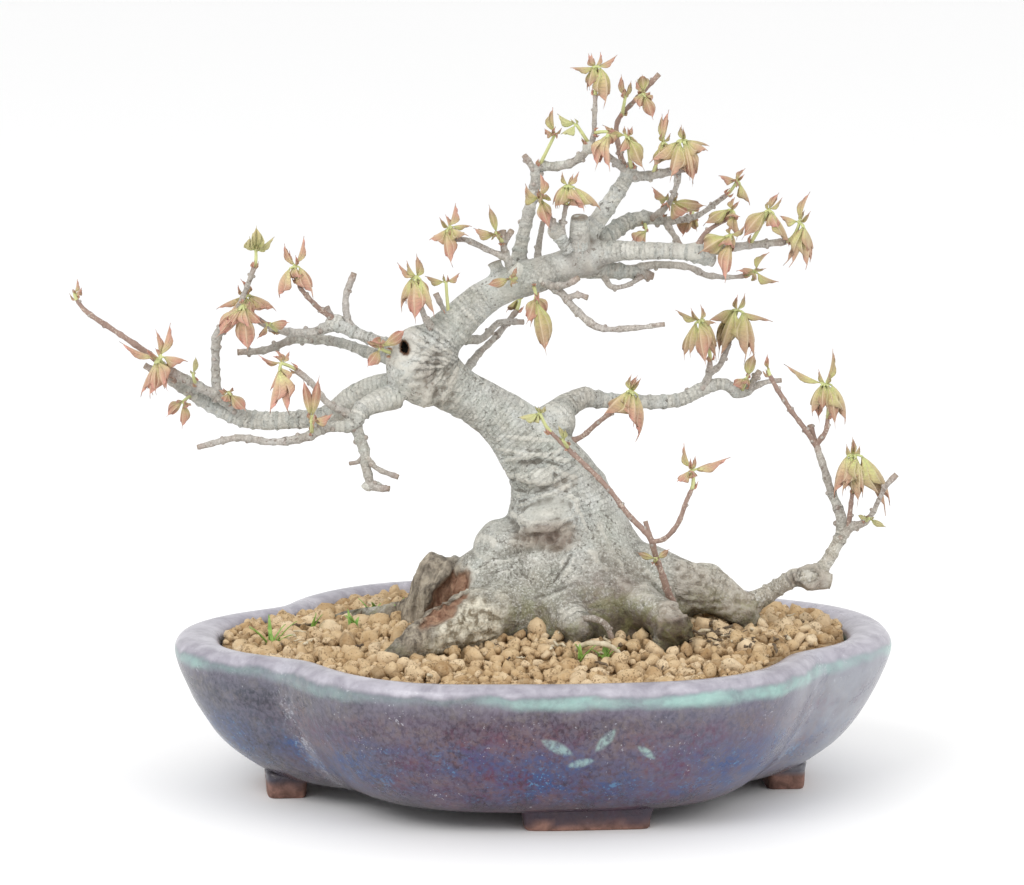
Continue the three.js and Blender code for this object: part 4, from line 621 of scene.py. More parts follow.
# Feet: length, width, distance from the middle, angle, slide along, height of the bare clay
FEET = [
    [38, 12, 61, 0, 10.5, 2.0],
    [38, 12, 61, math.pi, -5, 2.0],
    [34, 12, 79, math.pi / 2, 0, 4.6],
    [34, 12, 79, -math.pi / 2, 0, 4.6],
]
FOOT_STEPS = 72
FOOT_ROUNDING = 0.28  # power of a foot's outline: 0 is a rectangle, 1 an oval
FOOT_SLIMNESS = 0.95

# Rings of a foot from the standing surface up into the pot: height, share of its outline
FOOT_PROFILE = [
    [0, 0], [0.05, 0.965], [0.5, 0.99], [2.0, 1.0], [4.0, 1.02], [FOOT_HEIGHT, 1.05],
    [FOOT_HEIGHT + 2.2, 1.1],
]

# Pale brush strokes on the pot's front: place, turn and size
STROKES = [[6, 28, 0.5, 9], [13, 23, -0.25, 7], [20, 30, -0.9, 8], [31, 26, 0.7, 6]]

# The soil bed: its hidden flank as share of the outline and height, its edge, its rings and steps
SOIL_FLANK = [
    [0.0, FLOOR_TOP + 2], [0.55, FLOOR_TOP + 2], [0.74, 17], [0.83, 32], [0.862, 39], [0.872, 42],
]
SOIL_SHARE = 0.868
SOIL_RINGS = 46
SOIL_STEPS = 160

# Grains of the soil: smallest and largest width, tries, and how closely they may lie
GRAIN_SIZES = [
    [5.2, 7.4, 380, 0.8],
    [3.8, 5.2, 3000, 0.76],
    [2.8, 3.8, 6000, 0.72],
    [1.8, 2.8, 7000, 0.66],
]
LARGE_GRAIN = 4.0

# A grain's form: planed sides, how far from its middle they lie, its stretch, the depth of its pits
GRAIN_PLANES = 10
PLANE_DISTANCE = (0.52, 0.9)
GRAIN_STRETCH = (0.78, 1.3)
GRAIN_PITS = 0.032

# How far each line of a blade's points runs, from the midrib out to the edge: the middle lobe's tip
# stands furthest, and the side lobe's tip half-way out
OPEN_LOBES = (1, 0.83, 0.74, 0.72, 0.76, 0.66, 0.55, 0.4, 0.22)
FOLDED_LOBES = (1, 0.88, 0.77, 0.69, 0.66, 0.56, 0.46, 0.33, 0.18)

# How steeply a blade is bent at its midrib, and the share of its width that is left
OPEN_FORM = (0.75, 0.92)
FOLDED_FORM = (0.95, 0.75)

# A blade's width on its way from the stalk to the tip: the places, and the share of the full width
LENS = (
    [0, 0.08, 0.2, 0.34, 0.48, 0.62, 0.75, 0.88, 1],
    [0.05, 0.22, 0.58, 0.9, 1.0, 0.9, 0.6, 0.25, 0.07],
)
BLADE_ROWS = 9
BLADE_COLUMNS = 17
VEIN_AT = 0.5  # the side lobe's vein, between the midrib at 0 and the edge at 1
BUD_SCALES = 4

# How much wider than their solids the blades are: hanging ones, folded ones
LEAF_FULLNESS = (1.72, 1.5)

# Sprays with more and larger leaves than the others
RICH_SPRAYS = {
    "low_fork_mid", "low_leaf_twig", "apex_right_arm", "right_fork_far", "left_upper", "upper_left_front",
    "crown_front_side", "left_post_bud", "right_fork_near", "right_main",
}

# Sprays that have only just opened and are still pale green
FRESH_SPRAYS = {"left_post", "left_far_bud", "apex_mid_stub", "front_shoot", "low_fork_bud", "front_mid_bud"}
FRESHNESS = 0.65

# Rich sprays right of the first x are olive, and sprays left of the second are bronze
OLIVE_FROM = 40
BRONZE_UNTIL = -35

# A spray whose longest leaf is longer than this gets more leaves like its first one, turned from it by
# these quarters of a full turn and of a length between these shares of its length
PAIRED_LENGTH = 7
PLAIN_PAIRS = ((-1, 1), (0.36, 0.6))
RICH_PAIRS = ((-1, 1, 0.45, -0.55), (0.8, 1.05))

# Unrolling leaves: their length to the spray's longest leaf, and the most it may be
UNROLLING_SHARE = (0.28, 0.42)
UNROLLING_LENGTH = 5.5

# Slivers strewn over the soil, and those in a heap of dark litter: their number, the share of dark ones
STREWN = (70, 0.45)
HEAPED = (40, 0.8)

# Where the heap is and how far it spreads
LITTER_HEAP = ([56, -25], [8, 5])

# A sliver's length and radius, and how the radius goes from end to end
SLIVER_LENGTH = (1.5, 5.0)
SLIVER_RADIUS = (0.18, 0.55)
SLIVER_TAPER = np.array([0.6, 1, 1.1, 0.9, 0.5])

# Seedlings on the soil: x, y, blades
WEEDS = [[-52, -6, 6], [-47, 14, 5], [-64, -2, 3], [-38, 4, 4], [13, -44, 4]]

# The curled rootlet in front of the trunk: x, y, z, radius
ROOTLET = [
    [12, -36, 46, 0.9], [13, -40.5, 49, 0.85], [16.5, -43, 50.6, 0.8], [21, -43.5, 50, 0.75],
    [24, -43, 47.6, 0.7], [22.4, -44.6, 45.6, 0.55],
]

# Where the noise's lattice starts, which keeps the numbers of its cells above 0
LATTICE_START = 1000.5


# Points, noise and curves

def seen(rows):
    """Each [x, z, depth] of the front view, slid along its line of sight from the pot's middle plane."""
    rows = np.asarray(rows, float)
    plane = np.stack([rows[:, 0], np.zeros(len(rows)), rows[:, 1]], axis=1)
    return EYE + (plane - EYE) * (1 - rows[:, 2:3] / EYE[1])


def front_view(points):
    """The x and z at which the line of sight to each point crosses the pot's middle plane."""
    share = (points[:, 1] - EYE[1]) / -EYE[1]
    return EYE[0] + (points[:, 0] - EYE[0]) / share, EYE[2] + (points[:, 2] - EYE[2]) / share


def lattice(cell, seed):
    """A repeatable value from -1 to 1 for each whole-numbered cell: its numbers and the seed are
    multiplied by large odd ones and summed, and the sum's bits are shifted over each other twice."""
    for_x, for_y, for_z, for_seed, again = 374761393, 668265263, 1103515245, 69069, 1274126177
    mixed = cell[..., 0] * for_x + cell[..., 1] * for_y + cell[..., 2] * for_z + seed * for_seed
    mixed = ((mixed ^ (mixed >> 13)) & 0xFFFFFF) * again
    return ((mixed ^ (mixed >> 16)) & 0xFFFF) / (0xFFFF / 2) - 1


def noise(points, size, seed=0):
    """Lattice values at cells of one size, blended between the eight corners by a smooth step. Each
    seed gives another pattern."""
    place = points / size + LATTICE_START
    cell = np.floor(place).astype(np.int64)
    part = place - cell
    part = part * part * (3 - 2 * part)
    total = np.zeros(len(points))
    for corner in range(8):
        offset = np.array([corner & 1, corner >> 1 & 1, corner >> 2 & 1])
        weight = np.prod(np.where(offset == 1, part, 1 - part), axis=1)
        total += weight * lattice(cell + offset, seed)
    return total


def layered(points, size, layers, seed=0):
    """Noise summed over layers, each with half the size and half the height of the one before."""
    return sum(noise(points, size / 2**k, seed + k) / 2**k for k in range(layers))


def step(low, high, value):
    """A smooth step from 0 at low to 1 at high."""
    part = np.clip((value - low) / (high - low), 0, 1)
    return part * part * (3 - 2 * part)


def bell(value, width):
    """A bell curve of height 1 at 0."""
    return np.exp(-((value / width) ** 2))


def unit(vectors):
    """The vectors at length 1."""
    return vectors / np.maximum(np.linalg.norm(vectors, axis=-1, keepdims=True), 1e-9)


def around(count):
    """Evenly spaced angles of a full turn."""
    return np.arange(count) / count * TURN


def turned_in_plan(x, y, angle):
    """The x and y turned about the Z axis."""
    c, s = math.cos(angle), math.sin(angle)
    return x * c - y * s, x * s + y * c


def arch(start, bend, end, t):
    """A bent path's points at the shares t: a quadratic Bezier curve."""
    return (1 - t) ** 2 * start + 2 * t * (1 - t) * bend + t**2 * end


def curve_through(rows, spacing):
    """A centripetal Catmull-Rom curve through the rows. Their first three columns are the place, and the
    other columns are carried along."""
    rows = np.asarray(rows, float)
    ends = np.vstack([2 * rows[0] - rows[1], rows, 2 * rows[-1] - rows[-2]])
    gaps = np.sqrt(np.maximum(np.linalg.norm(np.diff(ends[:, :3], axis=0), axis=1), 1e-6))
    out = []
    for k in range(len(rows) - 1):
        p0, p1, p2, p3 = ends[k:k + 4]
        d0, d1, d2 = gaps[k:k + 3]
        leave = d1 * ((p1 - p0) / d0 - (p2 - p0) / (d0 + d1) + (p2 - p1) / d1)
        arrive = d1 * ((p2 - p1) / d1 - (p3 - p1) / (d1 + d2) + (p3 - p2) / d2)
        count = max(2, math.ceil(d1 * d1 / spacing))
        t = np.arange(count)[:, None] / count
        out.append(
            (2 * t**3 - 3 * t**2 + 1) * p1 + (t**3 - 2 * t**2 + t) * leave
            + (3 * t**2 - 2 * t**3) * p2 + (t**3 - t**2) * arrive
        )
    out.append(rows[-1:])
    return np.vstack(out)


def lengths_along(path):
    """How far along the path each of its points lies."""
    return np.concatenate([[0], np.cumsum(np.linalg.norm(np.diff(path[:, :3], axis=0), axis=1))])


# Surfaces

class Shape:
    """Points, four-sided and three-sided faces, a UV for each face corner, and named values per point."""

    def __init__(self, points, quads=None, tris=None, quad_uv=None, tri_uv=None, values=None):
        self.points = np.asarray(points, float)
        self.quads = np.zeros((0, 4), int) if quads is None else np.asarray(quads, int)
        self.tris = np.zeros((0, 3), int) if tris is None else np.asarray(tris, int)
        self.quad_uv = np.zeros((len(self.quads), 4, 2)) if quad_uv is None else quad_uv
        self.tri_uv = np.zeros((len(self.tris), 3, 2)) if tri_uv is None else tri_uv
        self.values = values or {}

    def set(self, **values):
        for name, value in values.items():
            self.values[name] = np.broadcast_to(np.asarray(value, float), len(self.points)).copy()
        return self


def joined(shapes):
    """All the shapes as one, each with its faces' numbers moved past the points before it."""
    starts = np.cumsum([0] + [len(shape.points) for shape in shapes[:-1]])
    names = {name for shape in shapes for name in shape.values}
    values = {
        name: np.concatenate([shape.values.get(name, np.zeros(len(shape.points))) for shape in shapes])
        for name in names
    }
    return Shape(
        np.concatenate([shape.points for shape in shapes]),
        np.concatenate([shape.quads + start for shape, start in zip(shapes, starts)]),
        np.concatenate([shape.tris + start for shape, start in zip(shapes, starts)]),
        np.concatenate([shape.quad_uv for shape in shapes]),
        np.concatenate([shape.tri_uv for shape in shapes]),
        values,
    )


def grid_faces(rows, columns, closed):
    """The faces between neighbouring points of a grid, and their UVs. A closed grid's last column meets
    its first one."""
    i, j = np.meshgrid(np.arange(rows - 1), np.arange(columns if closed else columns - 1), indexing="ij")
    i, j = i.ravel(), j.ravel()
    after = (j + 1) % columns
    quads = np.stack([i * columns + j, i * columns + after, (i + 1) * columns + after,
                      (i + 1) * columns + j], axis=1)
    across = columns if closed else columns - 1
    u0, u1, v0, v1 = j / across, (j + 1) / across, i / (rows - 1), (i + 1) / (rows - 1)
    uv = np.stack([np.stack(pair, axis=1) for pair in ((u0, v0), (u1, v0), (u1, v1), (u0, v1))], axis=1)
    return quads, uv


def ring_frames(path):
    """Two directions across a path at each of its points, turned along from ring to ring without twist."""
    tangents = unit(np.gradient(path, axis=0))
    start = np.cross(tangents[0], [0.3, 1, 0.2])
    first = np.zeros_like(path)
    first[0] = start / np.linalg.norm(start)
    for k in range(1, len(path)):
        carried = first[k - 1] - tangents[k] * np.dot(first[k - 1], tangents[k])
        first[k] = carried / np.linalg.norm(carried)
    return first, np.cross(tangents, first)


def tube(path, radius, sides, rough=0.0, seed=0):
    """A closed tube: rings of points round a path, each ring and point pushed out by its own noise, and
    closed with a fan at each end. radius is one number a ring."""
    first, second = ring_frames(path)
    turns = around(sides)
    spokes = np.cos(turns)[None, :, None] * first[:, None] + np.sin(turns)[None, :, None] * second[:, None]
    rings = path[:, None] + spokes * radius[:, None, None]
    if rough > 0:
        lift = layered(rings.reshape(-1, 3), 2.6, 3, seed).reshape(len(path), sides)
        rings = rings + spokes * (lift * rough)[:, :, None]
    quads, uv = grid_faces(len(path), sides, True)
    points = np.vstack([rings.reshape(-1, 3), path[:1], path[-1:]])
    tris = cap_faces(len(path), sides)
    tri_uv = np.tile([[[0.5, 0.0]]], (len(tris), 3, 1))
    tri_uv[sides:, :, 1] = 1
    shape = Shape(points, quads, tris, uv, tri_uv)
    along = np.repeat(np.linspace(0, 1, len(path)), sides)
    return shape.set(along=np.concatenate([along, [0, 1]]))


def ball(place, half, tilt=0.0, rows=14, sides=18):
    """A closed ball of rings from pole to pole, stretched by its half-widths and tilted about Y."""
    polar = np.linspace(0.02, math.pi - 0.02, rows)[:, None]
    turns = around(sides)
    rings = np.stack([
        np.sin(polar) * np.cos(turns),
        np.sin(polar) * np.sin(turns),
        -np.cos(polar) + 0 * turns,
    ], axis=2)
    quads, uv = grid_faces(rows, sides, True)
    points = rings.reshape(-1, 3) * half
    turned = np.stack([
        points[:, 0] * math.cos(tilt) + points[:, 2] * math.sin(tilt),
        points[:, 1],
        points[:, 2] * math.cos(tilt) - points[:, 0] * math.sin(tilt),
    ], axis=1) + place
    points = np.vstack([turned, turned[:sides].mean(axis=0), turned[-sides:].mean(axis=0)])
    return Shape(points, quads, cap_faces(rows, sides), uv)


def fan(sides, middle, start=0, upward=True):
    """Faces from each edge of a ring, whose numbers begin at start, to a middle point."""
    j = np.arange(sides)
    edge = [start + j, start + (j + 1) % sides]
    return np.stack([*(edge if upward else edge[::-1]), np.full(sides, middle)], axis=1)


def cap_faces(rows, sides):
    """Fans from a grid's first and last rings to the two points that follow it."""
    count = rows * sides
    return np.vstack([fan(sides, count, upward=False), fan(sides, count + 1, count - sides)])


def sheet(points, thickness):
    """A grid of points as a thin closed blade: the grid moved half the thickness each way along its
    normals, with the two rims joined."""
    rows, columns = points.shape[:2]
    normals = unit(np.cross(np.gradient(points, axis=1), np.gradient(points, axis=0)))
    faces, uv = grid_faces(rows, columns, False)
    front = (points + normals * thickness / 2).reshape(-1, 3)
    back = (points - normals * thickness / 2).reshape(-1, 3)
    number = np.arange(rows * columns).reshape(rows, columns)
    rim = np.concatenate([number[0], number[1:, -1], number[-1, -2::-1], number[-2:0:-1, 0]])
    after = np.roll(rim, -1)
    count = rows * columns
    rims = np.stack([rim, rim + count, after + count, after], axis=1)
    place = np.stack(np.meshgrid(np.linspace(0, 1, columns), np.linspace(0, 1, rows)), axis=2)
    place = place.reshape(-1, 2)
    rim_uv = place[np.stack([rim, rim, after, after], axis=1)]
    quads = np.concatenate([faces, faces[:, ::-1] + count, rims])
    quad_uv = np.concatenate([uv, uv[:, ::-1], rim_uv])
    return Shape(np.concatenate([front, back]), quads, None, quad_uv)


def add_piece(name, shape, material, weld=False):
    """A Blender object of the shape, in metres in the frame's place, with its UVs and its values."""
    mesh = bpy.data.meshes.new(name)
    corners = np.concatenate([shape.quads.ravel(), shape.tris.ravel()])
    sizes = np.concatenate([np.full(len(shape.quads), 4), np.full(len(shape.tris), 3)])
    mesh.vertices.add(len(shape.points))
    mesh.vertices.foreach_set("co", (shape.points * MM + POT_CENTRE).astype(np.float32).ravel())
    mesh.loops.add(len(corners))
    mesh.loops.foreach_set("vertex_index", corners.astype(np.int32))
    mesh.polygons.add(len(sizes))
    mesh.polygons.foreach_set("loop_start", (np.cumsum(sizes) - sizes).astype(np.int32))
    mesh.update(calc_edges=True)
    uv = np.concatenate([shape.quad_uv.reshape(-1, 2), shape.tri_uv.reshape(-1, 2)])
    mesh.uv_layers.new(name="Surface").data.foreach_set("uv", uv.astype(np.float32).ravel())
    for key, value in sorted(shape.values.items()):
        mesh.attributes.new(key, "FLOAT", "POINT").data.foreach_set("value", value.astype(np.float32))
    mesh.polygons.foreach_set("use_smooth", np.ones(len(sizes), bool))
    if weld:
        close_poles(mesh)
    if material:
        mesh.materials.append(material)
    piece = bpy.data.objects.new(name, mesh)
    bpy.context.scene.collection.objects.link(piece)
    return piece


def close_poles(mesh):
    """Merges points that lie in one place, so that poles and rims close."""
    maker = bmesh.new()
    maker.from_mesh(mesh)
    bmesh.ops.remove_doubles(maker, verts=maker.verts, dist=0.002 * MM)
    maker.to_mesh(mesh)
    maker.free()


def take_mesh(piece):
    """The finished mesh of an object with its modifiers, as a shape in millimetres; the object is
    removed."""
    finished = piece.evaluated_get(bpy.context.evaluated_depsgraph_get())
    mesh = finished.to_mesh()
    points = np.empty(len(mesh.vertices) * 3)
    mesh.vertices.foreach_get("co", points)
    normals = np.empty(len(mesh.vertices) * 3)
    mesh.vertex_normals.foreach_get("vector", normals)
    corners = np.empty(len(mesh.loops), np.int32)
    mesh.loops.foreach_get("vertex_index", corners)
    starts = np.empty(len(mesh.polygons), np.int32)
    mesh.polygons.foreach_get("loop_start", starts)
    totals = np.diff(np.append(starts, len(corners)))
    quads = corners[starts[totals == 4][:, None] + np.arange(4)]
    tris = corners[starts[totals == 3][:, None] + np.arange(3)]
    finished.to_mesh_clear()
    bpy.data.objects.remove(piece)
    shape = Shape((points.reshape(-1, 3) - POT_CENTRE) / MM, quads, tris)
    return shape, normals.reshape(-1, 3)


def settle(piece, slot, *nodes):
    """The piece rides on the object's one body and stands for nodes; the slot is not used."""
    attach(piece, "root")
    if nodes:
        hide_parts(*nodes)


# Wood

def limb_path(stations, spacing):
    """A limb's curve through its stations: places in millimetres and a radius at each."""
    stations = np.asarray(stations, float)
    rows = np.hstack([seen(stations), stations[:, 3:4]])
    path = curve_through(rows, spacing)
    return path[:, :3], np.maximum(path[:, 3], 0.3)


def knuckles(along, radius, seed):
    """A twig's radius with a ring of swelling at each old bud, every few millimetres of its length;
    the place of the first bud and the distance between them."""
    pitch = BUD_PITCH[0] + BUD_PITCH[1] * lattice(np.array([seed, 3, 1]), 5)
    shift = 0.37 * seed
    place = ((along / pitch + shift) % 1 - 0.5) * pitch
    swell = BUD_SWELL[0] * bell(place, BUD_SWELL[1]) * (radius < 2.6)
    waver = 0.1 * noise(np.stack([along, along * 0 + seed, along * 0], axis=1), 1.7, seed)
    return radius * (1 + swell + waver), (0.5 - shift) % 1 * pitch, pitch


def twig(name, number):
    """One limb as a tube that swells at its old buds, with the buds themselves as small nubs in pairs.
    Young shoots are slimmer, smoother and brown, and thin ends of other twigs are brown too."""
    path, radius = limb_path(LIMBS[name], TWIG_SPACING)
    along = lengths_along(path)
    young = 1.0 if name in YOUNG_SHOOTS else 0.0
    slim = THICK_SLIMNESS if radius[0] > THICK_RADIUS else 1 - YOUNG_SLIMMING * young
    radius, first, pitch = knuckles(along, radius * slim, number)
    sides = TWIG_SIDES[0] if radius[0] > 1.6 else TWIG_SIDES[1]
    shape = tube(path, radius, sides, 0.16 * (1 - 0.6 * young) * min(1, radius.mean()), number)

    def on_rings(values, first, last):
        """A value for each point: one a ring, and the two at the tube's ends."""
        return np.concatenate([np.repeat(values, sides), [first, last]])

    to_end = along[-1] - along
    cut = on_rings(bell(to_end, 0.5), 0, 1) * (name not in SPRAYS)
    tip = on_rings(step(7, 0, to_end), 0, 1)
    brown = on_rings(0.4 * step(2.3, 0.8, radius), 0, 0.6)
    tender = np.maximum(tip * (radius[-1] < 1.2) * 0.7, brown)
    reach = on_rings(along, 0, along[-1]) + 40 * number
    shape.set(young=np.maximum(young, tender), cut=cut, reach=reach)
    return joined([shape, *bud_nubs(path, radius, reach[::sides], first, pitch, number)])


def bud_nubs(path, radius, reach, first, pitch, number):
    """A pair of small balls at each old bud of a thin twig, each second pair crosswise to the one
    before. Some are missing."""
    along = lengths_along(path)
    frames, _ = ring_frames(path)
    nubs = []
    for k, spot in enumerate(np.arange(first, along[-1] - 1, pitch)):
        i = np.searchsorted(along, spot)
        if radius[i] > 2.0:
            continue
        turned = np.cross(unit(path[i] - path[i - 1]), frames[i])
        side = frames[i] if k % 2 else turned
        for way in (-1, 1):
            if lattice(np.array([number, k, way]), 8) > 0.1:
                place = path[i] + side * way * radius[i] * 0.9
                half = NUB_SIZE[0] + NUB_SIZE[1] * radius[i]
                nub = ball(place, np.full(3, half), 0, 5, 6)
                nubs.append(nub.set(young=0.5, reach=reach[i]))
    return nubs


def nearest_limb(points, paths):
    """For each point, the nearest sample of the limbs' paths: how far along its limb it lies, the limb's
    direction there and its number, and a share that falls to 0 where another limb is as near."""
    spots = np.vstack(paths)
    heads = np.vstack([unit(np.gradient(path, axis=0)) for path in paths])
    reach = np.concatenate([lengths_along(path) for path in paths])
    number = np.concatenate([np.full(len(path), k) for k, path in enumerate(paths)])
    found = np.empty(len(points), int)
    block = 4000
    for start in range(0, len(points), block):
        part = points[start:start + block]
        gap = ((part[:, None] - spots[None]) ** 2).sum(axis=2)
        found[start:start + block] = gap.argmin(axis=1)
    far = 1e9
    gaps = np.full((2, len(points)), far)
    for path in paths:
        gap = np.full(len(points), far)
        for spot in path[::2]:
            gap = np.minimum(gap, ((points - spot) ** 2).sum(axis=1))
        gaps = np.sort(np.vstack([gaps, gap]), axis=0)[:2]
    clear = step(0.2, 4, np.sqrt(gaps[1]) - np.sqrt(gaps[0]))
    return reach[found], heads[found], number[found], clear


def sinks(shape, normals, rounds):
    """How far each point lies below its surroundings: its neighbours' places are averaged over and
    over, and the gap to them is measured along the normal."""
    ends = np.concatenate([shape.quads.ravel(), shape.tris.ravel()])
    others = np.concatenate([np.roll(rows, -1, axis=1).ravel() for rows in (shape.quads, shape.tris)])
    count = len(shape.points)
    degree = np.maximum(np.bincount(ends, minlength=count), 1)
    smooth = shape.points
    for _ in range(rounds):
        smooth = np.stack([
            np.bincount(ends, smooth[others, axis], count) / degree for axis in range(3)
        ], axis=1)
    return ((smooth - shape.points) * normals).sum(axis=1)


def rings_round(x, z, centre, half, tilt):
    """How far each front-view point lies from a centre, in half-widths of a tilted oval."""
    dx, dz = x - centre[0], z - centre[1]
    across = dx * math.cos(tilt) + dz * math.sin(tilt)
    upward = dz * math.cos(tilt) - dx * math.sin(tilt)
    return np.hypot(across / half[0], upward / half[1])


def carve(points, facing, x, z):
    """How far each point of the wood moves out (in millimetres), summed over its scars, gnarls and
    folds; how far it is pushed back along the sight where the wood is hollow; and how gnarled and how
    flat it is."""
    out = np.zeros(len(points))
    back = np.zeros(len(points))
    gnarled = np.zeros(len(points))
    flat = np.zeros(len(points))
    ridges = ridged(points * [1, 1, 1.5], 3.6, 42) + 0.6 * ridged(points, 1.9, 43)
    ragged_edge = 0.22 * layered(points, 5.0, 3, 41)
    for centre, half, tilt, rim, dish in SCARS:
        d = rings_round(x, z, centre, half, tilt) + 0.7 * ragged_edge
        out += (rim * bell(d - 0.98, 0.16) - dish * step(1.0, 0.6, d)) * facing
        if dish > 0:
            flat = np.maximum(flat, step(0.95, 0.75, d) * facing)
    for centre, half, tilt, height in GNARLS:
        mask = step(1.15, 0.55, rings_round(x, z, centre, half, tilt) + ragged_edge)
        gnarled = np.maximum(gnarled, mask * min(height, 1))
        out += height * ridges * mask * (1 - flat)
    for start, end, width, height in FOLDS:
        line = np.subtract(end, start)
        share = np.clip(((x - start[0]) * line[0] + (z - start[1]) * line[1]) / (line @ line), 0, 1)
        d = np.hypot(x - start[0] - share * line[0], z - start[1] - share * line[1])
        d = d + 0.5 * noise(points, 3.0, 40)
        out += height * bell(d, width) * facing * step(0, 0.25, share + 0.1) * step(1.1, 0.8, share)
    for centre, half, tilt, depth in HOLLOWS:
        d = rings_round(x, z, centre, half, tilt) + ragged_edge
        back += depth * step(1.05, 0.7, d) * facing
    return out, back, gnarled * (1 - flat), flat


def ridged(points, size, seed):
    """Noise folded at zero, from -1 to sharp crests at 1."""
    return 1 - 2 * np.abs(noise(points, size, seed))


def bark_relief(points, reach, heads, number):
    """Lumps and flutes, and fine ridges over them: across each limb on the upper trunk, and along it on
    the lower trunk and the roots. Also gives where they run across, and each point's distance across
    its limb in the front view."""
    across = points[:, 0] * heads[:, 2] - points[:, 2] * heads[:, 0]
    bent = reach + 1.6 * noise(points, 9.0, 11) + 0.7 * noise(points, 3.5, 12)
    round_it = ridged(np.column_stack([bent, across * 0.14, points[:, 1] * 0.14]), 1.15, 13)
    swayed = across + 2.2 * noise(points, 12.0, 17) + 0.8 * noise(points, 4.0, 18)
    along_it = ridged(np.column_stack([swayed, reach * 0.12, points[:, 1] * 0.4]), 1.9, 19)
    patches = step(-0.5, 0.5, noise(points, 14.0, 14))
    grit = layered(points, 1.7, 2, 16)
    ringed = step(70, 88, points[:, 2])
    coarse = number < COARSE_PATHS
    low = step(84, 66, points[:, 2]) * coarse
    upper = ringed * (1 - 0.65 * step(104, 114, points[:, 2]))
    flutes = 0.55 * noise(points * [1, 1, 0.4], 8.0, 20) * low
    fine = (0.05 + 0.24 * upper) * (0.35 + 0.65 * patches) * round_it
    fine += 0.22 * low * (0.4 + 0.6 * patches) * along_it + 0.09 * grit
    return 0.32 * layered(points, 11.0, 3, 15) * coarse + flutes, fine, ringed, across


def merged_core(paths):
    """The skin round the tubes along the paths and the burls, merged by a voxel remesh and smoothed,
    and its normals."""
    solids = [tube(path, radius, CORE_SIDES) for path, radius in paths]
    solids += [ball(seen([place])[0], np.array(half), tilt) for place, half, tilt in BURLS]
    core = add_piece("wood_core", joined(solids), None)
    remesh = core.modifiers.new("merge", "REMESH")
    remesh.mode = "VOXEL"
    remesh.voxel_size = BARK_VOXEL * MM
    soften = core.modifiers.new("soften", "SMOOTH")
    soften.factor, soften.iterations = SOFTENING
    return take_mesh(core)


def rotten_parts(points, x, z):
    """Where the wood is the rotten stub and where the pale crust lies on it, and how far both stand out
    in ragged fibres and lumps."""
    stub = step(1.2, 0.8, rings_round(x, z, *STUB_OVAL)) * (points[:, 0] < -14)
    stub *= step(-3, 4, 70 - z)
    crust = step(1.25, 0.6, rings_round(x, z, *CRUST_OVAL) + 0.2 * layered(points, 5.0, 2, 33))
    crust *= (points[:, 1] < 0) * (z < 66)
    fibres = points * [1, 1, 0.35] + 0.4 * noise(points, 6.0, 32)[:, None]
    ragged = (0.9 * ridged(fibres, 2.6, 30) + 0.9 * noise(points, 5.0, 34)) * stub
    ragged += (0.5 * ridged(points, 2.6, 35) + 0.35 * ridged(points, 1.5, 39)) * crust
    return stub, crust, ragged


def make_wood():
    """The trunk, roots, stub and thick limbs become one carved skin; the twigs are tubes that start
    inside it. The skin's values tell its material where each kind of bark and wood lies."""
    stations = [TRUNK, STUB, *ROOTS]  # the order that COARSE_PATHS counts in
    for rows in LIMBS.values():
        if rows[0][3] >= THICK_RADIUS:
            stations.append([row for row in rows if row[3] >= SKIN_RADIUS])
    paths = [limb_path(rows, 1.5) for rows in stations if len(rows) > 1]
    shape, normals = merged_core(paths)
    points = shape.points
    x, z = front_view(points)
    away = unit(points - EYE)
    facing = step(0.05, 0.5, (normals * -away).sum(axis=1))
    reach, heads, number, clear = nearest_limb(points, [path for path, _ in paths])
    out, back, gnarled, flat = carve(points, facing, x, z)
    lumps, fine, ringed, across = bark_relief(points, reach, heads, number)
    fine = fine * clear * (1 - 0.8 * flat)
    stub, crust, ragged = rotten_parts(points, x, z)
    splinter = 2.4 * np.maximum(noise(points * [1, 1, 0], 2.2, 36), -0.2) * stub * step(58, 64, points[:, 2])
    points = points + normals * (out + lumps + fine + ragged)[:, None] + away * back[:, None]
    points[:, 2] += splinter
    hollow = back / HOLLOW_DEPTH
    over_soil = points[:, 2] - soil_height(points[:, 0], points[:, 1])
    # Dampness and mossy tints near the soil; nearest it, the same mask lays painted contact shade
    damp_and_shade = step(*DAMP_AND_SHADE_HEIGHT, over_soil - 5 * noise(points, 9.0, 31))
    stain = sum(depth * step(1.3, 0.3, rings_round(x, z, centre, half, 0) + 0.3 * noise(points, 6.0, 37))
                for centre, half, depth in STAINS)
    shape.points = points
    # How sunk each point is, for the painted shade and painted highlight of the bark's relief
    sunk = sum(weight * sinks(shape, normals, rounds) for rounds, weight in RELIEF_ROUNDS)
    shape.set(
        relief=np.clip(0.5 - sunk, 0, 1),
        lined=clear * (1 - 0.85 * flat),
        flat=flat,
        dead=np.clip(stub * (1 - crust) + hollow, 0, 1),
        hollow=hollow,
        crust=crust * (1 - np.minimum(hollow, 1)),
        gnarled=gnarled,
        stain=stain * (points[:, 1] < 10),
        moss=damp_and_shade,
        reach=reach + 90 * number,
        across=across,
        ringed=ringed,
    )
    settle(add_piece("wood_trunk_and_roots", shape, bark), "bark", "wood")
    twigs = joined([twig(name, k) for k, name in enumerate(LIMBS) if not is_bud(name)])
    twigs.set(ringed=1, lined=1, relief=0.54 + 0.24 * noise(twigs.points, 1.3, 38))
    settle(add_piece("wood_twigs", twigs, bark), "bark")


# Pot

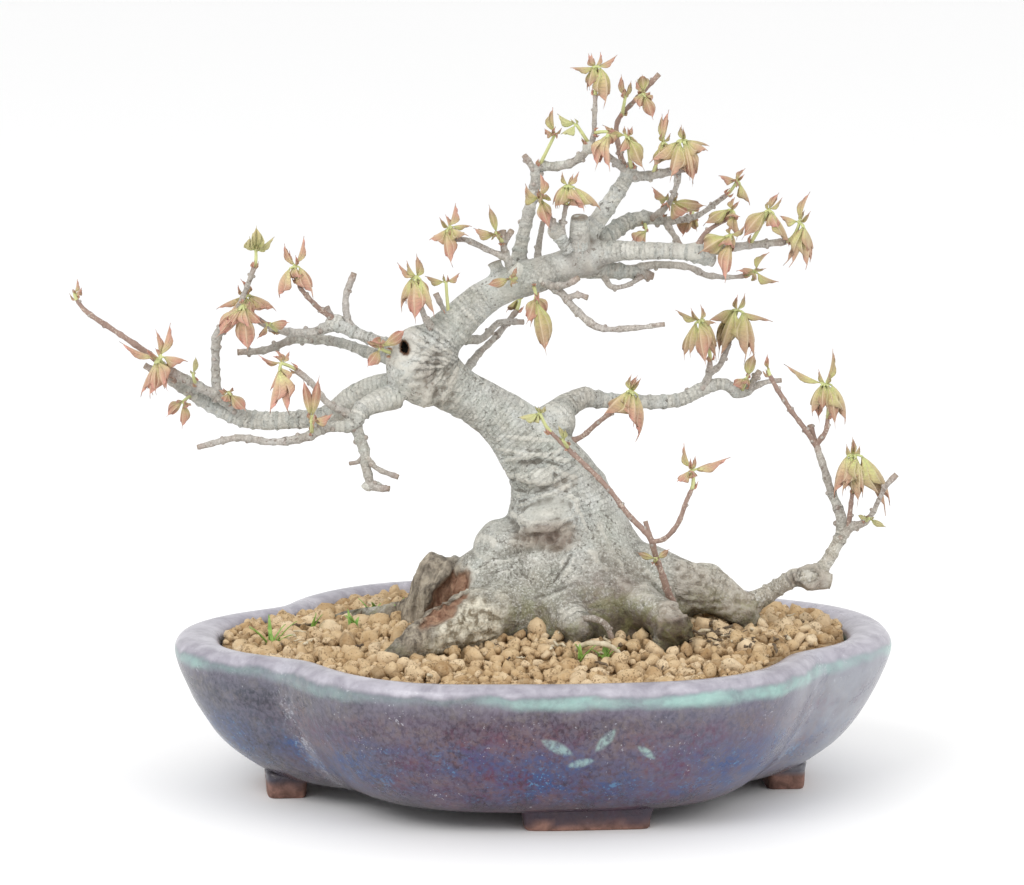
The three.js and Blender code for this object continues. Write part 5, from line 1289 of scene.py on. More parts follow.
def outline(angle):
    """The quatrefoil's x and y at each angle: the larger of two crossing superellipses, blended where
    they meet, with a mask that is 1 along the notches between them."""
    c, s = np.abs(np.cos(angle)), np.abs(np.sin(angle))
    half_length, half_depth = POT_LENGTH / 2, POT_DEPTH / 2

    def reach(x, y, power):
        return (x**power + y**power) ** (-1 / power)

    ends = reach(c, s * half_depth / END_LOBES[0], END_LOBES[1])
    sides = reach(c * half_length / SIDE_LOBES[0], s, SIDE_LOBES[1])
    share = (ends**NOTCH_SHARPNESS + sides**NOTCH_SHARPNESS) ** (1 / NOTCH_SHARPNESS)
    notch = bell(np.log(ends / sides), NOTCH_WIDTH)
    return half_length * np.cos(angle) * share, half_depth * np.sin(angle) * share, notch


def round_pot(share, height, angle, inset=0.0):
    """The pot's point at a share of its outline, a height and an angle: the front and back lobes are
    shifted a little, their walls are steeper, and the whole is turned."""
    x, y, _ = outline(angle)
    kept = np.maximum(share - inset / np.hypot(x, y), 0)
    steep = kept + (1 - kept) * WALL_STEEPNESS * np.minimum(kept / 0.6, 1)
    across = x * kept + LOBE_SHIFT * (1 - (2 * x / POT_LENGTH) ** 2) * kept
    across, deep = turned_in_plan(across, y * steep, POT_TURN)
    return np.stack([across, deep, height + 0 * kept], axis=-1)


def make_pot():
    """The wall's profile, rounded between its heights, is carried round the outline. Low waves of noise
    make it hand-made, the drain holes are cut through its floor and the feet are set under it."""
    reach = 100  # brings the shares near millimetres, so that the curve is evenly divided
    profile = curve_through([[share * reach, 0, height] for share, height in WALL_PROFILE], 0.9)
    share, height = profile[:, 0] / reach, profile[:, 2]
    angle = around(POT_STEPS)
    rings = round_pot(share[:, None], height[:, None], angle[None])
    rows = rings.reshape(-1, 3)
    outside = np.repeat(share, POT_STEPS) > WALL_FROM
    wall = step(FOOT_HEIGHT + 1, FOOT_HEIGHT + 8, rows[:, 2]) * outside
    outward = unit(rows * [1, 1, 0])
    waves = 0.35 * noise(rows, 26.0, 50) + 0.16 * noise(rows * [1, 1, 1.6], 8.0, 51)
    _, _, notch = outline(angle)
    crease = np.tile(notch, len(share))
    rows = rows + outward * (waves * wall)[:, None]
    rows[:, 2] += 0.25 * noise(rows, 22.0, 52) * wall
    quads, uv = grid_faces(len(share), POT_STEPS, True)
    along = lengths_along(profile)
    climb = np.repeat(along / along[-1], POT_STEPS)
    shell = Shape(rows, quads, None, uv)
    shell.set(crease=crease, climb=climb, clay=0)
    inner = rings_to_middle(rows, len(share), POT_STEPS)
    piece = add_piece("pot_glazed", joined([shell, inner]), glaze)
    pierce(piece)
    settle(piece, "glaze", "pot")
    for number, row in enumerate(FEET):
        make_foot(number, *row)


def rings_to_middle(rows, count, sides):
    """Fans that close the profile's two ends at the pot's axis."""
    parts = []
    for ring, upward in ((rows[:sides], False), (rows[(count - 1) * sides:], True)):
        part = Shape(np.vstack([ring, ring.mean(axis=0)]), None, fan(sides, sides, upward=upward))
        parts.append(part.set(crease=0, climb=float(upward), clay=1))
    return joined(parts)


def pierce(piece):
    """Cuts the two drain holes through the pot's floor with round plugs that are then removed."""
    weld = piece.modifiers.new("weld", "WELD")
    weld.merge_threshold = 0.02 * MM
    plugs = []
    for side in (-1, 1):
        x, y = turned_in_plan(side * DRAIN_SPACING / 2, 0.0, POT_TURN)
        path = np.array([[x, y, -5.0], [x, y, 4.0], [x, y, FLOOR_TOP + 6.0]])
        radius = np.full(len(path), DRAIN_RADIUS)
        plugs.append(add_piece(f"drain_plug_{side}", tube(path, radius, 48), None))
        cut = piece.modifiers.new("drain", "BOOLEAN")
        cut.operation = "DIFFERENCE"
        cut.object = plugs[-1]
        cut.solver = "EXACT"
    bake_modifiers(piece)
    for plug in plugs:
        bpy.data.objects.remove(plug)


def bake_modifiers(piece):
    """Puts the modifiers' result into the mesh."""
    finished = piece.evaluated_get(bpy.context.evaluated_depsgraph_get())
    mesh = bpy.data.meshes.new_from_object(finished)
    piece.modifiers.clear()
    piece.data = mesh


def make_foot(number, length, width, distance, angle, slide, bare):
    """A foot: a block of superellipse rings that narrow a little downwards and round over at the foot's
    edge, from the standing surface up into the pot."""
    heights, scale = np.array(FOOT_PROFILE, float).T
    c, s = np.cos(around(FOOT_STEPS)), np.sin(around(FOOT_STEPS))
    x = np.sign(c) * np.abs(c) ** FOOT_ROUNDING * length / 2 * FOOT_SLIMNESS
    y = np.sign(s) * np.abs(s) ** FOOT_ROUNDING * width / 2 * FOOT_SLIMNESS
    rings = np.stack([
        scale[:, None] * x + slide,
        scale[:, None] * y - distance + width / 2,
        heights[:, None] + 0 * x,
    ], axis=2).reshape(-1, 3)
    rings[:, :2] += 0.25 * np.stack([noise(rings, 5.0, 60), noise(rings, 5.0, 61)], axis=1)
    x, y = turned_in_plan(rings[:, 0], rings[:, 1], angle + POT_TURN)
    turned = np.stack([x, y, rings[:, 2]], axis=1)
    quads, uv = grid_faces(len(heights), FOOT_STEPS, True)
    body = Shape(turned, quads, None, uv)
    rim = turned[-FOOT_STEPS:]
    lid = Shape(np.vstack([rim, rim.mean(axis=0)]), None, fan(FOOT_STEPS, FOOT_STEPS))
    foot = joined([body, lid])
    level = foot.points[:, 2] + 1.3 * noise(foot.points, 5.0, 62)
    foot.set(crease=0, climb=0.02, clay=step(bare + 0.9, bare - 0.9, level))
    settle(add_piece(f"pot_foot_{number}", foot, glaze, weld=True), "glaze")


# Soil

def soil_height(x, y):
    """The soil's mound: a bell round the trunk on a flat edge."""
    across, deep = (x - SOIL_MOUND_AT) / SOIL_MOUND_REACH[0], y / SOIL_MOUND_REACH[1]
    return SOIL_EDGE_HEIGHT + SOIL_MOUND_HEIGHT * np.exp(-(across**2) - deep**2)


def make_soil():
    """A bed inside the pot's wall, dark as painted shade between the grains, with grains heaped on it. The
    rows of its top are given the height 0 first and then the mound's."""
    angle = around(SOIL_STEPS)
    flank = np.array(SOIL_FLANK, float)
    share = np.concatenate([flank[:, 0], np.linspace(SOIL_SHARE, 0, SOIL_RINGS)])
    height = np.concatenate([flank[:, 1], np.zeros(SOIL_RINGS)])
    points = round_pot(share[:, None], height[:, None], angle[None], 0.4).reshape(-1, 3)
    level = soil_height(points[:, 0], points[:, 1]) - 1.3 + 0.5 * noise(points * [1, 1, 0], 3.0, 70)
    points[:, 2] = np.where(points[:, 2] == 0, level, points[:, 2])
    quads, uv = grid_faces(len(share), SOIL_STEPS, True)
    # tint 0 gives the bed the darkest tone of the grains' ramp: painted shade in the gaps between grains
    bed = Shape(points, quads, None, uv).set(tint=0)
    settle(add_piece("soil_bed", bed, grit, weld=True), "soil", "soil")
    chance = np.random.default_rng(GRAIN_SEED)
    centres, sizes = scatter_grains(chance)
    for name, large in (("soil_grains_large", True), ("soil_grains_small", False)):
        chosen = (sizes > LARGE_GRAIN) == large
        settle(add_piece(name, grains(centres[chosen], sizes[chosen], chance), grit), "soil")


def scatter_grains(chance):
    """Places for grains, largest first, each dropped at random in the pot's mouth and kept where it
    lies clear of those before it in plan."""
    centres, sizes = np.zeros((0, 3)), np.zeros(0)
    for low, high, tries, tight in GRAIN_SIZES:
        turn = chance.uniform(0, TURN, tries)
        share = SOIL_SHARE * np.sqrt(chance.uniform(0, 1, tries))
        size = chance.uniform(low, high, tries)
        spots = round_pot(share, 0.0, turn, 0.3 + size * 0.4)
        for spot, width in zip(spots, size):
            gap = np.hypot(centres[:, 0] - spot[0], centres[:, 1] - spot[1])
            if len(gap) and (gap < tight * (sizes + width) / 2).any():
                continue
            centres = np.vstack([centres, spot])
            sizes = np.append(sizes, width)
    lift = chance.uniform(-0.32, 0.12, len(sizes)) * sizes
    centres[:, 2] = soil_height(centres[:, 0], centres[:, 1]) + lift - 0.3 * (sizes < 3)
    return centres, sizes


def grains(centres, sizes, chance):
    """Each grain is a ball of 80 faces, planed flat on several sides, stretched, pitted and turned."""
    ball_mesh = bpy.data.meshes.new("grain")
    maker = bmesh.new()
    bmesh.ops.create_icosphere(maker, subdivisions=2, radius=1)
    maker.to_mesh(ball_mesh)
    maker.free()
    base = np.array([vertex.co for vertex in ball_mesh.vertices])
    faces = np.array([list(face.vertices) for face in ball_mesh.polygons])
    bpy.data.meshes.remove(ball_mesh)
    count = len(sizes)
    points = np.repeat(base[None], count, axis=0)
    for _ in range(GRAIN_PLANES):
        heading = unit(chance.normal(size=(count, 1, 3)))
        depth = chance.uniform(*PLANE_DISTANCE, (count, 1))
        over = np.maximum((points * heading).sum(axis=2) - depth, 0)
        points = points - heading * over[:, :, None]
    points = points * chance.uniform(*GRAIN_STRETCH, (count, 1, 3)) * (sizes / 2)[:, None, None]
    pitted = (GRAIN_PITS * sizes)[:, None, None] * chance.normal(size=(count, len(base), 1))
    points = points + unit(points) * pitted
    axes = np.linalg.qr(chance.normal(size=(count, 3, 3)))[0]
    points = np.einsum("gij,gvj->gvi", axes, points) + centres[:, None]
    turned = np.linalg.det(axes) < 0
    tris = faces[None] + (np.arange(count) * len(base))[:, None, None]
    tris[turned] = tris[turned][:, :, ::-1]
    shape = Shape(points.reshape(-1, 3), None, tris.reshape(-1, 3))
    return shape.set(tint=np.repeat(chance.uniform(0, 1, count), len(base)))


# Leaves

def is_bud(name):
    """Whether a limb is only the place of a bud, with no twig of its own."""
    return name in SPRAYS and len(LIMBS[name]) == 2


def blade(root, bend, tip, side, width, folded, chance):
    """A leaf of three lobes. Its points run along a bent path from the root to the tip, and out to the
    side by a lens-shaped share of the width. How far each line of points runs makes the lobes; near its
    end a line closes in on its lobe's vein, which draws the tips out. The blade is bent down on both
    sides of its midrib, with a valley between each two veins."""
    v = np.linspace(-1, 1, BLADE_COLUMNS)
    u = np.linspace(0, 1, BLADE_ROWS)[:, None]
    closed = 1 if folded else chance.uniform(0.2, 1)
    lobes = closed * np.array(FOLDED_LOBES) + (1 - closed) * np.array(OPEN_LOBES)
    reach = np.interp(np.abs(v), np.linspace(0, 1, len(lobes)), lobes)
    fold, spread = FOLDED_FORM if folded else OPEN_FORM
    reach[v < 0] *= chance.uniform(0.9, 1.06)
    s = u * reach[None]
    lens = np.interp(s, *LENS)
    t = s[:, :, None]
    spine = arch(root, bend, tip, t)
    heading = unit(2 * (1 - t) * (bend - root) + 2 * t * (tip - bend))
    side = unit(side - heading * (heading * side).sum(axis=2, keepdims=True))
    normal = np.cross(heading, side)
    vein = np.where(np.abs(v) < VEIN_AT / 2, 0, VEIN_AT * np.sign(v))
    drawn = v + (vein - v) * 0.6 * step(0.5, 1.0, u)
    across = drawn * lens * width / 2
    valley = np.minimum(np.abs(v), np.abs(np.abs(v) - VEIN_AT))[None]
    drop = -fold * np.abs(across) * (0.6 + 0.4 * np.abs(v)[None]) - 0.55 * width * valley * lens
    wave = 0.05 * width * np.sin(s * 9 + 3 * chance.uniform()) * np.abs(v)[None] * lens
    curl = chance.normal() * 0.14 * width * s**2
    points = spine + side * (spread * across)[:, :, None] + normal * (drop + wave + curl)[:, :, None]
    shape = sheet(points, LEAF_THICKNESS)
    return shape.set(along=np.tile(s.ravel(), 2), rim=np.tile(np.abs(v), 2 * BLADE_ROWS))


def stalk(start, bend, end, wide, narrow, seed):
    """A petiole or a shoot: a tube along a bent path that narrows to its end."""
    t = np.linspace(0, 1, STALK_STEPS)[:, None]
    path = arch(start, bend, end, t)
    radius = wide + (narrow - wide) * t[:, 0]
    return tube(path, radius, STALK_STEPS, 0.05, seed)


def from_front(row):
    """The x, z and depth at a row's start as a step in space."""
    return np.array([row[0], row[2], row[1]])


def shoot_points(name):
    """Where a spray's shoot starts on its twig and where its leaves stand, as in the solids."""
    before, end = seen(LIMBS[name])[-2:]
    node = end + from_front(SPRAYS[name][0])
    heading = unit(end - before)
    start = before + unit(node - before) * 0.5 if is_bud(name) else end - heading * 0.3
    return start, heading, node


def hang(node, leaf):
    """The tip of a leaf: a leaf that hangs stands off from the shoot by a share of its drop."""
    dx, dz, dy, _ = leaf
    depth = math.sqrt(max((HANG_REACH * dz) ** 2 - dx**2, dy**2))
    return node + np.array([dx, -depth if dy < 0 else depth, dz])


def olive_range(node, rich):
    """Between which shares of olive the leaves of a spray are drawn; 0 is bronze."""
    if rich and node[0] > OLIVE_FROM:
        return 0.5, 1.0
    return (0.0, 0.55) if node[0] < BRONZE_UNTIL else (0.0, 1.0)


def make_spray(name, number):
    """A shoot with opposite leaves: petioles arch out from its node, blades hang from them, young
    folded leaves stand on top, and bud scales sit round the shoot's foot."""
    chance = np.random.default_rng(SPRAY_SEED + number)
    start, heading, node = shoot_points(name)
    up = unit(node - start)
    bend = start + heading * np.linalg.norm(node - start) * 0.4
    shoot = stalk(start, bend, node + up * 0.3, 0.6, SHOOT_RADIUS, number)
    parts = [shoot.set(blush=0.35 * (1 - shoot.values["along"]), green=0.8, tint=0.5)]
    rich = name in RICH_SPRAYS
    fresh = FRESHNESS if name in FRESH_SPRAYS else 0.0
    olive = olive_range(node, rich)
    _, hanging, upright = SPRAYS[name]
    leaves = [(hang(node, leaf), leaf[3], False) for leaf in hanging]
    leaves += [(node + from_front(leaf), leaf[3], True) for leaf in upright]
    leaves += more_leaves(node, up, leaves, rich, chance)
    for tip, width, folded in leaves:
        parts += make_leaf(node, up, tip, width, folded, fresh, olive, chance)
    for _ in range(BUD_SCALES):
        turn = chance.uniform(0, TURN)
        out = unit(np.cross(up, [math.cos(turn), math.sin(turn), 0.2]))
        scale_tip = start + heading * chance.uniform(1.6, 2.6) + out * 1.2
        scale = blade(start + out * 0.45, start + heading * 1.0 + out * 1.1, scale_tip, np.cross(up, out),
                      SCALE_WIDTH, True, chance)
        parts.append(scale.set(blush=0.75, green=0.1, tint=chance.uniform(), vein=0))
    piece = add_piece("leaves_" + name, joined(parts), leaf_skin)
    settle(piece, "leaf", "spray_" + name)


def more_leaves(node, up, leaves, rich, chance):
    """The pairs that the solids leave out: leaves like the first one but turned about the shoot, small
    ones or in rich sprays large ones, and folded ones just unrolling round the shoot's end."""
    first, width, folded = leaves[0]
    size = max(np.linalg.norm(tip - node) for tip, _, _ in leaves)
    more = []
    if size > PAIRED_LENGTH:
        quarters, shares = RICH_PAIRS if rich else PLAIN_PAIRS
        for quarter in quarters:
            turn = math.pi / 2 * quarter + chance.uniform(-0.4, 0.4)
            reach = (first - node) * chance.uniform(*shares)
            tip = node + [*turned_in_plan(reach[0], reach[1], turn), reach[2]]
            more.append((tip, width * 0.8, folded))
    start = chance.uniform(0, TURN)
    for k in range(2):
        turn = start + k * TURN / 2
        out = np.array([math.cos(turn), math.sin(turn), 0.1])
        length = min(size * chance.uniform(*UNROLLING_SHARE), UNROLLING_LENGTH)
        tip = node + (up * 0.95 + out * 0.45) * length
        more.append((tip, length * 0.36, True))
    return more


def make_leaf(node, up, tip, width, folded, fresh, olive, chance):
    """A petiole and a blade from the node to the tip. The blade's width is the one in the solids, made
    fuller, and its face looks away from the shoot."""
    reach = tip - node
    length = np.linalg.norm(reach)
    ahead = reach / length
    out = reach - up * (reach @ up)
    out = unit(out) if np.linalg.norm(out) > 0.2 else unit(np.cross(up, [0.3, 1, 0]))
    hangs = max(0.0, -ahead @ up)
    root = node + ahead * length * 0.13 + (up * 0.12 + out * 0.1) * length * hangs
    petiole = stalk(node, node + (out * 0.6 + up * 0.4) * length * 0.1, root, 0.42, PETIOLE_RADIUS, 3)
    bulge = (out * 0.32 + up * 0.16) * length * (0.3 + 0.7 * hangs)
    bend = node + reach * 0.5 + bulge
    side = np.cross(out if hangs > 0.3 else up, ahead)
    if np.linalg.norm(side) < 0.05:
        side = np.cross(ahead, [0, 1, 0.2])
    side = unit(side + 0.35 * chance.normal(size=3) * (0.4 if folded else 1) * 0.6)
    full = width * (LEAF_FULLNESS[1] if folded else LEAF_FULLNESS[0] + 0.25 * step(4.5, 6.5, width))
    leaf = blade(root, bend, tip, side, full, folded, chance)
    tint = chance.uniform(*olive)
    petiole.set(blush=0.1, green=0.85, tint=tint, vein=0)
    return [petiole, leaf.set(blush=leaf.values["along"], green=fresh, tint=tint, vein=1)]


# Grass, seedlings and litter on the soil

def grass_blade(root, tip, width, sag):
    """A narrow blade along an arch from its root to its tip, keeled along its middle."""
    t = np.linspace(0, 1, GRASS_ROWS)[:, None]
    middle = (root + tip) / 2 + np.array([0, 0, sag])
    path = arch(root, middle, tip, t)
    heading = unit(np.gradient(path, axis=0))
    side = unit(np.cross(heading, [0, 0, 1.0]) + 1e-6)
    v = np.linspace(-1, 1, GRASS_COLUMNS)
    wide = width / 2 * (1 - t**2.2) + 0.05
    keel = np.cross(side, heading) * 0.35
    points = path[:, None] + side[:, None] * (v[None, :, None] * wide[:, None])
    points = points + keel[:, None] * (np.abs(v)[None, :, None] * wide[:, None])
    return sheet(points, LEAF_THICKNESS).set(along=np.tile(np.repeat(t[:, 0], GRASS_COLUMNS), 2))


def make_tuft(name):
    """Each blade of a tuft in the solids becomes two, which leave the soil close together."""
    (x, y), blades = TUFTS[name]
    chance = np.random.default_rng(len(name))
    foot = np.array([x, y, soil_height(x, y) - 1.5])
    parts = []
    for dx, dz, dy, width in blades:
        tip = foot + np.array([dx, dy, dz * 0.7 + 1.8])
        for _ in range(2):
            root = foot + [0.5 * chance.normal(), 0.5 * chance.normal(), 0]
            end = root + (tip - foot) * chance.uniform(0.6, 1.0) + chance.normal(size=3) * 0.8
            end[2] = min(end[2], tip[2])
            parts.append(grass_blade(root, end, width * 0.62, 1.6))
    settle(add_piece("grass_" + name, joined(parts), grass_skin), "grass", "tuft_" + name)


def make_weeds():
    """Small seedlings and single blades here and there on the soil."""
    chance = np.random.default_rng(WEED_SEED)
    parts = []
    for x, y, count in WEEDS:
        foot = np.array([x, y, soil_height(x, y)])
        for _ in range(count):
            heading = np.array([chance.normal() * 2.4, chance.normal() * 2.0, chance.uniform(2.5, 5.5)])
            root = foot + chance.normal(size=3) * 0.7
            parts.append(grass_blade(root, foot + heading, SEEDLING_WIDTH, 0.8))
    settle(add_piece("weeds", joined(parts), grass_skin), "grass")


def make_litter():
    """Slivers of old bark and root lying on the grains, and the one pale rootlet that curls up, with
    two finer ones round it."""
    chance = np.random.default_rng(LITTER_SEED)
    parts = []
    for k in range(STREWN[0] + HEAPED[0]):
        heaped = k >= STREWN[0]
        turn, share = chance.uniform(0, TURN), 0.8 * math.sqrt(chance.uniform())
        spot = round_pot(np.array([share]), 0.0, np.array([turn]), 3.0)[0]
        if heaped:
            spot[:2] = np.array(LITTER_HEAP[0]) + chance.normal(size=2) * LITTER_HEAP[1]
        spot[2] = soil_height(spot[0], spot[1]) + 1.4
        heading = unit(np.array([chance.normal(), chance.normal(), 0.15 * chance.normal()]))
        long = chance.uniform(*SLIVER_LENGTH)
        path = spot + heading * np.linspace(-long / 2, long / 2, len(SLIVER_TAPER))[:, None]
        path += 0.25 * chance.normal(size=path.shape)
        radius = chance.uniform(*SLIVER_RADIUS) * SLIVER_TAPER
        pale = chance.uniform() > (HEAPED if heaped else STREWN)[1]
        parts.append(tube(path, radius, 6, 0.12, 7).set(pale=pale))
    loops = curve_through(ROOTLET, 0.4)
    curl = tube(loops[:, :3], loops[:, 3], 9, 0.2, 9).set(pale=1)
    for shift in (9.0, 18.0):
        offset = loops[:, :3] + noise(loops[:, :3] + shift, 3.0, 80)[:, None] * [0.9, 0.6, 0.8]
        parts.append(tube(offset, loops[:, 3] * 0.35, 6, 0.1, 8).set(pale=1))
    settle(add_piece("litter", joined([*parts, curl]), litter_skin), "bark")


# Materials

class Nodes:
    """Adds shader nodes to a tree. Each call returns the new node's output; an input that isn't a
    socket is set as a plain value."""

    def __init__(self, tree):
        self.tree = tree

    def feed(self, socket, value):
        if isinstance(value, bpy.types.NodeSocket):
            self.tree.links.new(value, socket)
        elif value is not None:
            socket.default_value = value

    def fill(self, node, inputs):
        """Feeds a node's inputs, each found by its name or its number."""
        for key, value in inputs.items():
            self.feed(node.inputs[key], value)

    def node(self, kind, inputs=None, **settings):
        made = self.tree.nodes.new(kind)
        for key, value in settings.items():
            setattr(made, key, value)
        self.fill(made, inputs or {})
        return made

    def place(self):
        return self.node("ShaderNodeTexCoord").outputs["Object"]

    def value(self, name):
        return self.node("ShaderNodeAttribute", attribute_name=name).outputs["Fac"]

    def join(self, x, y, z):
        return self.node("ShaderNodeCombineXYZ", {"X": x, "Y": y, "Z": z}).outputs["Vector"]

    def surface_uv(self):
        return self.node("ShaderNodeUVMap", uv_map="Surface").outputs["UV"]

    def scaled(self, vector, *scale):
        return self.node("ShaderNodeMapping", {"Vector": vector, "Scale": scale}).outputs["Vector"]

    def split(self, vector):
        return self.node("ShaderNodeSeparateXYZ", {"Vector": vector}).outputs

    def noise(self, vector, scale, detail=3.0, rough=0.55, bend=0.0):
        made = self.node("ShaderNodeTexNoise", {
            "Vector": vector, "Scale": scale, "Detail": detail, "Roughness": rough, "Distortion": bend,
        })
        return made.outputs["Fac"]

    def math(self, operation, *values):
        return self.node("ShaderNodeMath", dict(enumerate(values)), operation=operation).outputs[0]

    def times(self, *values):
        """The product of the values."""
        product = values[0]
        for value in values[1:]:
            product = self.math("MULTIPLY", product, value)
        return product

    def line(self, value, slope, start):
        """A start, and a slope times the value on top of it."""
        return self.math("MULTIPLY_ADD", value, slope, start)

    def gap(self, a, b):
        """How far apart two values are."""
        return self.math("ABSOLUTE", self.math("SUBTRACT", a, b))

    def largest(self, a, b):
        return self.math("MAXIMUM", a, b)

    def step(self, value, low, high):
        """A smooth step of a value from 0 at low to 1 at high."""
        made = self.node("ShaderNodeMapRange", {
            "Value": value, "From Min": low, "From Max": high, "To Min": 0.0, "To Max": 1.0,
        }, interpolation_type="SMOOTHSTEP")
        return made.outputs["Result"]

    def mix(self, share, a, b):
        """The colour a share of the way from a to b."""
        made = self.node("ShaderNodeMix", {0: share, 6: colour(a), 7: colour(b)}, data_type="RGBA")
        return made.outputs[2]

    def layers(self, base, *rows):
        """The base with each row's tone laid over it in turn, as strongly as the row's masks together."""
        for tone, *masks in rows:
            base = self.mix(self.times(*masks), base, tone)
        return base

    def blend(self, share, a, b):
        """The value a share of the way from a to b."""
        return self.node("ShaderNodeMix", {0: share, 2: a, 3: b}, data_type="FLOAT").outputs[0]

    def ramp(self, value, *stops):
        made = self.node("ShaderNodeValToRGB", {"Fac": value})
        elements = made.color_ramp.elements
        while len(elements) < len(stops):
            elements.new(0.5)
        for element, (place, tone) in zip(elements, stops):
            element.position = place
            element.color = colour(tone)
        return made.outputs["Color"]

    def group(self, tree, **inputs):
        return self.node("ShaderNodeGroup", inputs, node_tree=tree).outputs[0]

    def mottled(self, vector, scale, contrast):
        return self.group(mottle, Vector=vector, Scale=scale, Contrast=contrast)

    def speckled(self, vector, scale, level):
        return self.group(speckles, Vector=vector, Scale=scale, Level=level)

    def bump(self, height, strength, distance, under=None):
        """Bumps over the ones under them. The distance is in millimetres."""
        made = self.node("ShaderNodeBump", {
            "Height": height, "Strength": strength, "Distance": distance * MM, "Normal": under,
        })
        return made.outputs["Normal"]


def colour(tone):
    """An 0xRRGGBB screen colour as the renderer's linear one; sockets pass through."""
    if not isinstance(tone, int):
        return tone
    parts = [(tone >> shift & 255) / 255 for shift in (16, 8, 0)]
    return (*[p / 12.92 if p < 0.04045 else ((p + 0.055) / 1.055) ** 2.4 for p in parts], 1.0)


def new_group(name, inputs, output):
    """An empty node group with inputs, each of a kind and with a usual value, and one output, and the
    nodes at its two ends."""
    tree = bpy.data.node_groups.new(name, "ShaderNodeTree")
    for key, (kind, value) in inputs.items():
        socket = tree.interface.new_socket(key, in_out="INPUT", socket_type=kind)
        if value is not None:
            socket.default_value = value
    tree.interface.new_socket(output, in_out="OUTPUT", socket_type="NodeSocketFloat")
    ends = Nodes(tree)
    return ends, ends.node("NodeGroupInput").outputs, ends.node("NodeGroupOutput").inputs


def speckle_group():
    """Small uneven spots: the crests of a fine noise, more of them where a coarse noise is high. A lower
    level gives more spots."""
    n, given, result = new_group("speckles", {
        "Vector": ("NodeSocketVector", None),
        "Scale": ("NodeSocketFloat", 1000.0),
        "Level": ("NodeSocketFloat", 0.62),
    }, "Mask")
    fine = n.noise(given["Vector"], given["Scale"], 2.0, 0.5)
    coarse = n.noise(given["Vector"], n.times(given["Scale"], 0.11), 2.0)
    crest = n.line(coarse, 0.45, n.math("SUBTRACT", fine, 0.225))
    over = n.math("SUBTRACT", crest, given["Level"])
    n.feed(result["Mask"], n.step(over, 0.0, 0.05))
    return n.tree


def mottle_group():
    """Cloudy patches: coarse noise with finer noise in it, spread to the full range by a contrast."""
    n, given, result = new_group("mottle", {
        "Vector": ("NodeSocketVector", None),
        "Scale": ("NodeSocketFloat", 100.0),
        "Contrast": ("NodeSocketFloat", 3.0),
    }, "Value")
    clouds = n.noise(given["Vector"], given["Scale"], 5.0, 0.62, 0.4)
    spread = n.line(n.math("SUBTRACT", clouds, 0.5), given["Contrast"], 0.5)
    clipped = n.node("ShaderNodeMath", {0: spread, 1: 0.0}, operation="ADD", use_clamp=True)
    n.feed(result["Value"], clipped.outputs[0])
    return n.tree


def stroke_group():
    """A slender leaf seen from the front: what two unit discs, one set higher than the other, share."""
    n, given, result = new_group("stroke", {"Vector": ("NodeSocketVector", None)}, "Mask")
    parts = n.split(given["Vector"])
    squared = n.times(parts["X"], parts["X"])
    masks = []
    for lift in (0.7, -0.8):
        off = n.math("ADD", parts["Z"], lift)
        masks.append(n.step(n.line(off, off, squared), 1.0, 0.72))
    n.feed(result["Mask"], n.times(*masks))
    return n.tree


def new_material(name):
    material = bpy.data.materials.new(name)
    material.use_nodes = True
    shader = material.node_tree.nodes["Principled BSDF"]
    return material, Nodes(material.node_tree), shader


